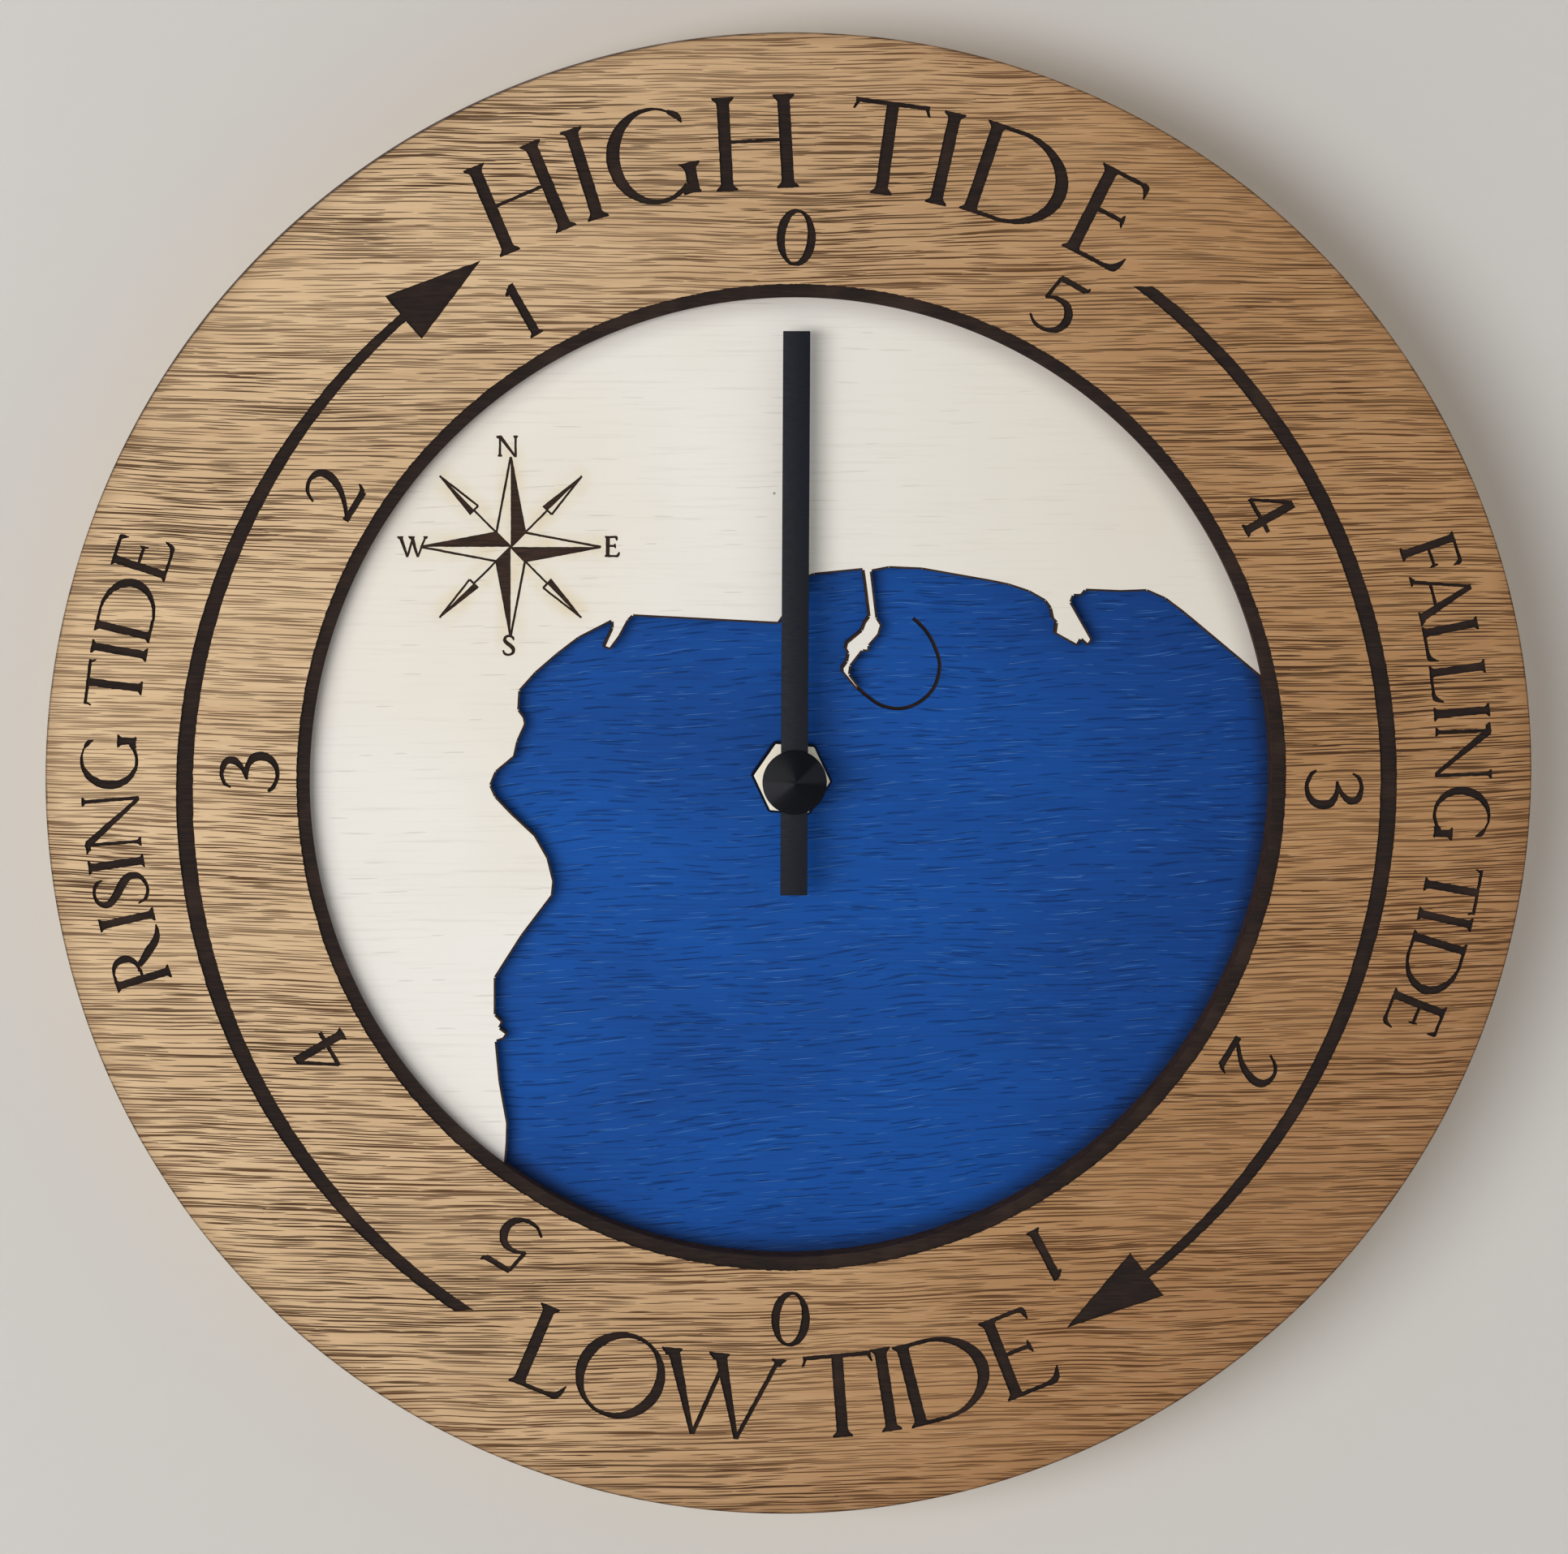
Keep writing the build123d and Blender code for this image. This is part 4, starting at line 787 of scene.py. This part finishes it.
legends += lettering(
    [("0", 0), ("5", 28.9), ("4", 60.3), ("3", 91.0), ("2", 122.0), ("1", 151.9), ("0", 180), ("5", 210.9),
     ("4", 239.9), ("3", 271.0), ("2", 302.2), ("1", 330)],
    centre=(0.2, -0.27), radius=86.6, height=9.3, bold=0.1)


def arrow(centre, tail, middle, neck, tip):
    """Crescent arrow that swells between its tail and its neck, with angles about its own centre."""
    radius = 105.3
    tail_width, middle_width, neck_width, head = 2.0, 2.8, 1.5, 9.4
    tail_lean = 0.7
    steps = 40
    outer = []
    inner = []

    def place(reach, angle):
        x, y = dial_point(reach, angle)
        return (centre[0] + x, centre[1] + y)

    for k in range(2 * steps + 1):
        share = abs(k / steps - 1)
        end, end_width = (tail, tail_width) if k < steps else (neck, neck_width)
        angle = middle + (end - middle) * share
        lean = tail_lean if k == 0 else 0
        width = middle_width + (end_width - middle_width) * share**2
        outer.append(place(radius + width / 2, angle + lean))
        inner.append(place(radius - width / 2, angle - lean))
    points = [place(radius + head / 2, neck), place(radius, tip), place(radius - head / 2, neck)]
    return outer + points + inner[::-1]


def burnt(outline, step, amount):
    """The outline in short runs, made ragged by an amount."""
    return [ragged(point, amount) for point in divided(outline, step)]


# Centre, and angles of the tail, the middle, the neck and the tip
ARROWS = (((3.4, -2.2), -146.2, -92.7, -40.8, -32.1), ((-4.6, -1.5), 36.6, 89.2, 141.8, 150.7))
BORDER_WIDTH = 2.25
ring_cuts = [(burnt(part, step=0.45, amount=0.09), CARVE_DEPTH) for part in legends]
ring_cuts += [(burnt(arrow(*place), step=0.8, amount=0.12), CARVE_DEPTH) for place in ARROWS]
ring_cuts.append(([ragged(p, 0.14) for p in circle(OPENING_RADIUS + BORDER_WIDTH, 1200)], CARVE_DEPTH))
ring = relief("oak_ring", circle(RIM, 540), [circle(OPENING_RADIUS, 480)], ring_cuts, RING_REAR, DIAL_FRONT,
              [oak, char, edge, birch])
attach(ring, "clock")
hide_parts("dial_ring")


# Land plate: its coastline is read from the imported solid, and the rose is carved into it
def face_loops(item, height):
    """Closed outlines of a solid's flat face at a height, as points in the plane of the dial, the
    outermost last."""
    mesh = item.data
    spots = [(v.co.x / MM, v.co.z / MM, -v.co.y / MM) for v in mesh.vertices]
    key = {}
    index = []
    for x, z, h in spots:
        index.append(key.setdefault((round(x, 3), round(z, 3), round(h, 3)), len(key)))
    count = {}
    for poly in mesh.polygons:
        if all(abs(spots[v][2] - height) < 0.01 for v in poly.vertices):
            ring_of = [index[v] for v in poly.vertices]
            for j in range(len(ring_of)):
                pair = frozenset((ring_of[j], ring_of[j - 1]))
                count[pair] = count.get(pair, 0) + 1
    place = {number: (x, z) for (x, z, h), number in key.items()}
    links = {}
    for pair, times in count.items():
        if times == 1 and len(pair) == 2:
            a, b = pair
            links.setdefault(a, []).append(b)
            links.setdefault(b, []).append(a)
    loops = []
    while links:
        start = next(iter(links))
        loop = [start]
        while True:
            here = loop[-1]
            onward = [n for n in links[here] if n in links and n not in loop]
            if not onward:
                break
            loop.append(onward[0])
        for n in loop:
            links.pop(n, None)
        loops.append([place[n] for n in loop])
    return sorted(loops, key=lambda loop: max(math.hypot(*p) for p in loop))


def rose_shape(points, turn):
    """Points of (across, along) on an arm of the rose, turned clockwise from the top."""
    cos = math.cos(math.radians(turn))
    sin = math.sin(math.radians(turn))
    return [(ROSE_CENTRE[0] + x * cos + y * sin, ROSE_CENTRE[1] - x * sin + y * cos) for x, y in points]


def outline_stroke(points, width):
    """Thin line along a run of points."""
    strokes = []
    for (x0, y0), (x1, y1) in zip(points, points[1:]):
        size = math.hypot(x1 - x0, y1 - y0)
        dx, dy = (x1 - x0) / size * width / 2, (y1 - y0) / size * width / 2
        strokes.append([(x0 - dy, y0 + dx), (x1 - dy, y1 + dx), (x1 + dy, y1 - dx), (x0 + dy, y0 - dx)])
    return strokes


TIP = 15.1
WAIST = 2.4
ARM_LINE = 0.4
SIDE_FOOT = 8.7
SIDE_TIP = 16.8
SIDE_LINE = 0.38
STALK_LINE = 0.36
LETTER_HEIGHT = 3.35
LETTER_BOLD = 0.15
COAST_MARGIN = 0.7
rose = []
for turn in (0, 90, 180, 270):
    # The dark half of each main arm lies clockwise of its axis
    rose.append(rose_shape([(0, 0), (WAIST, WAIST), (0, TIP)], turn))
    for line in outline_stroke([(0, 0), (-WAIST, WAIST), (0, TIP), (WAIST, WAIST)], ARM_LINE):
        rose.append(rose_shape(line, turn))
for turn in (45, 135, 225, 315):
    # The dark half of each side arm lies on the other side, and a stalk joins the arm to the middle
    rose.append(rose_shape([(0.05, SIDE_FOOT), (-1.05, SIDE_FOOT), (-0.15, 16.4), (0.15, 16.4)], turn))
    for line in outline_stroke([(-1.05, SIDE_FOOT), (1.0, SIDE_FOOT), (0, SIDE_TIP)], SIDE_LINE):
        rose.append(rose_shape(line, turn))
    for line in outline_stroke([(0, WAIST * 1.3), (0, SIDE_FOOT + 0.1)], STALK_LINE):
        rose.append(rose_shape(line, turn))
for letter, x, y in (("N", -0.5, 15.2), ("E", 17.0, -1.6), ("S", -0.3, -18.2), ("W", -16.4, -1.6)):
    left = ROSE_CENTRE[0] + x
    foot_line = ROSE_CENTRE[1] + y
    for part in GLYPHS[letter]:
        stroke = [(left + px * LETTER_HEIGHT, foot_line + py * LETTER_HEIGHT) for px, py in part]
        rose.append(grown(stroke, LETTER_BOLD))
land_cuts = [(burnt(part, step=0.5, amount=0.05), ROSE_DEPTH) for part in rose]
# The laser leaves a thin burnt margin along the coast
sea_line = face_loops(nodes["land_plate"], RING_REAR)[0]
land_cuts += [(strip, SCORCH_DEPTH) for strip in outline_stroke(sea_line + sea_line[:1], COAST_MARGIN)]
land = relief("land", circle(RIM, 540), [sea_line], land_cuts, LAND_REAR, RING_REAR,
              [white, brown_char, edge, birch])
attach(land, "clock")
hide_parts("land_plate")


# Sea plate, with the thin curved wall of the pool, in shares of the opening's radius
POOL = ((0.136, 0.188), (0.183, 0.152), (0.228, 0.143), (0.268, 0.157), (0.298, 0.188), (0.309, 0.233),
        (0.298, 0.273), (0.279, 0.306), (0.253, 0.332))
POOL_WALL = 0.62
sea_holes = face_loops(nodes["sea_plate"], LAND_REAR)[:-1]
pool_wall = ribbon([(x * OPENING_RADIUS, z * OPENING_RADIUS, POOL_WALL) for x, z in POOL], 8)
sea = relief("sea", circle(RIM, 540), sea_holes, [(part, CARVE_DEPTH) for part in pool_wall],
             SEA_REAR, LAND_REAR, [blue, char, edge, birch])
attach(sea, "clock")
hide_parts("sea_plate")


# Turned and cut metal at the centre
def lathe(name, profile, material):
    """Turned piece about the arbor axis, from (radius, height) points that start and end on it."""
    steps = 96
    verts = []
    faces = []
    for radius, height in profile:
        for k in range(steps):
            a = 2 * math.pi * k / steps
            verts.append((radius * math.cos(a) * MM, -height * MM, radius * math.sin(a) * MM))
    for row in range(len(profile) - 1):
        for k in range(steps):
            n = (k + 1) % steps
            faces.append([row * steps + k, row * steps + n, (row + 1) * steps + n, (row + 1) * steps + k])
    obj = add_mesh(name, verts, faces, [material], smooth=True)
    rework(obj, weld, face_outwards)
    obj.data.set_sharp_from_angle(angle=math.radians(30))
    return obj


def prism(name, outline, rear, front, material, soft):
    """Flat piece cut from sheet, with its edges eased."""

    def ease(work):
        sharp = [e for e in work.edges if len(e.link_faces) == 2 and e.calc_face_angle(0) > math.radians(40)]
        bmesh.ops.bevel(work, geom=sharp, offset=soft * MM, segments=2, affect="EDGES", profile=0.5)

    count = len(outline)
    verts = [(x * MM, -h * MM, z * MM) for h in (rear, front) for x, z in outline]
    faces = [list(range(count)), [count + k for k in reversed(range(count))]]
    for k in range(count):
        n = (k + 1) % count
        faces.append([k, n, count + n, count + k])
    obj = add_mesh(name, verts, faces, [material])
    rework(obj, face_outwards, ease)
    obj.data.polygons.foreach_set("use_smooth", [True] * len(obj.data.polygons))
    obj.data.set_sharp_from_angle(angle=math.radians(35))
    return obj


HAND_REAR = 28.6
HAND_FRONT = 29.4
HAND_WIDTH = 4.5
HAND_REACH = 75.5
HAND_TAIL = 19.1
EYE = 4.7


def hand_outline():
    """Baton with a round eye about the axis."""
    half = HAND_WIDTH / 2
    meet = math.degrees(math.asin(half / EYE))
    right = [(EYE * math.cos(math.radians(a)), EYE * math.sin(math.radians(a)))
             for a in [-(90 - meet) + (180 - 2 * meet) * k / 24 for k in range(25)]]
    left = [(-x, z) for x, z in reversed(right)]
    return [(-half, -HAND_TAIL), (half, -HAND_TAIL), *right, (half, HAND_REACH), (-half, HAND_REACH), *left]


hand = prism("baton_hand", hand_outline(), HAND_REAR, HAND_FRONT, hand_black, 0.1)
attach(hand, "hand")
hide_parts("tide_hand")

# Radius and height along the plug, the brim and the low cone of the cap
CAP = [(0.0, 26.4), (1.65, 26.4), (1.65, HAND_FRONT), (5.25, HAND_FRONT), (5.4, 29.5), (5.4, 29.92),
       (5.36, 30.02), (5.25, 30.06), (1.2, 30.9), (0.5, 31.03), (0.0, 31.08)]
cap = lathe("spun_cap", CAP, cap_black)
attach(cap, "hand")
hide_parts("hand_cap")


def hex_nut():
    """Hexagon with turned bevels on both faces and a countersunk bore."""
    steps = 144
    rear, front = LAND_REAR, 23.3
    bore, sink, sink_depth = 4.02, 4.5, 0.45
    flat, corner = 6.0, 6.82
    face_flat, face_corner = 5.6, 6.45
    front_bevel, rear_bevel, rear_ease = 0.5, 0.3, 0.4
    # Two corners lie nearly left and right
    turn = math.pi / 6 - math.radians(4.7)
    verts = []
    for k in range(steps):
        a = 2 * math.pi * k / steps
        off = (a + math.pi / 6) % (math.pi / 3) - math.pi / 6
        side = min(flat / math.cos(off), corner)
        face = min(face_flat / math.cos(off), face_corner)
        row = [(bore, rear), (bore, front - sink_depth), (sink, front), (face, front),
               (side, front - front_bevel), (side, rear + rear_bevel), (side - rear_ease, rear)]
        verts += [(r * math.cos(a + turn) * MM, -h * MM, r * math.sin(a + turn) * MM) for r, h in row]
    faces = []
    kinds = []
    width = len(row)
    # The bore, the countersink and the front face take the near-white nickel, a painted highlight; the rest
    # takes its dark copy, painted shade
    painted_highlight_rows = 3
    for k in range(steps):
        n = (k + 1) % steps
        for j in range(width):
            m = (j + 1) % width
            faces.append([k * width + j, n * width + j, n * width + m, k * width + m])
            kinds.append(0 if j < painted_highlight_rows else 1)
    obj = add_mesh("bright_nut", verts, faces, [nickel, nickel_painted_shade], kinds, smooth=True)
    rework(obj, face_outwards)
    obj.data.set_sharp_from_angle(angle=math.radians(12))
    return obj


nut = hex_nut()
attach(nut, "clock")
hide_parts("hex_nut")


# Wall, floor and light, all in metres
def stage_material(name, colour):
    """Pale matt surface that is only seen from its front side."""
    m = Mat(name)
    cloud = m.noise(m.scaled(0.004, 0.004, 0.004), 2)
    m.set(Base_Color=m.mix(m.band(cloud, 0.3, 0.7), colour, tuple(0.97 * c for c in colour)), Roughness=0.9,
          Specular_IOR_Level=0.1)
    clear = m.add("ShaderNodeBsdfTransparent")
    geometry = m.add("ShaderNodeNewGeometry")
    blend = m.add("ShaderNodeMixShader")
    m.join(geometry.outputs["Backfacing"], blend.inputs[0])
    m.join(m.bsdf.outputs[0], blend.inputs[1])
    m.join(clear.outputs[0], blend.inputs[2])
    m.join(blend.outputs[0], m.out.inputs["Surface"])
    return m.mat


def stage_plane(name, corners, material):
    obj = add_mesh(name, corners, [[0, 1, 2, 3]], [material])
    obj.visible_shadow = False


SPAN = 2.0
WALL = 0.0004
FLOOR = -0.6
stage_plane("wall", [(-SPAN, WALL, FLOOR), (SPAN, WALL, FLOOR), (SPAN, WALL, SPAN), (-SPAN, WALL, SPAN)],
            stage_material("wall_paint", rgb(209, 207, 204)))
FRONT = -2 * SPAN
stage_plane("floor", [(-SPAN, FRONT, FLOOR), (SPAN, FRONT, FLOOR), (SPAN, WALL, FLOOR), (-SPAN, WALL, FLOOR)],
            stage_material("floor_paint", rgb(222, 220, 215)))


def lamp(name, place, size, power, colour=(1, 1, 1)):
    """Oval light that looks at the middle of the clock's rear face."""
    data = bpy.data.lights.new(name, "AREA")
    data.shape = "ELLIPSE"
    data.size, data.size_y = size
    data.energy = power
    data.color = colour
    obj = bpy.data.objects.new(name, data)
    bpy.context.collection.objects.link(obj)
    obj.location = place
    obj.rotation_euler = (-Vector(place)).to_track_quat("-Z", "Y").to_euler()


lamp("key", (-1.05, -1.9, 0.03), size=(1.5, 0.7), power=26.4, colour=(1.0, 0.985, 0.965))
lamp("back", (0.8, 1.6, 1.0), size=(1.2, 1.2), power=26)

world = bpy.data.worlds.new("studio")
bpy.context.scene.world = world
world.use_nodes = True
world.node_tree.nodes["Background"].inputs["Color"].default_value = (0.87, 0.88, 0.9, 1)
world.node_tree.nodes["Background"].inputs["Strength"].default_value = 0.47
bpy.context.scene.view_settings.view_transform = "Standard"
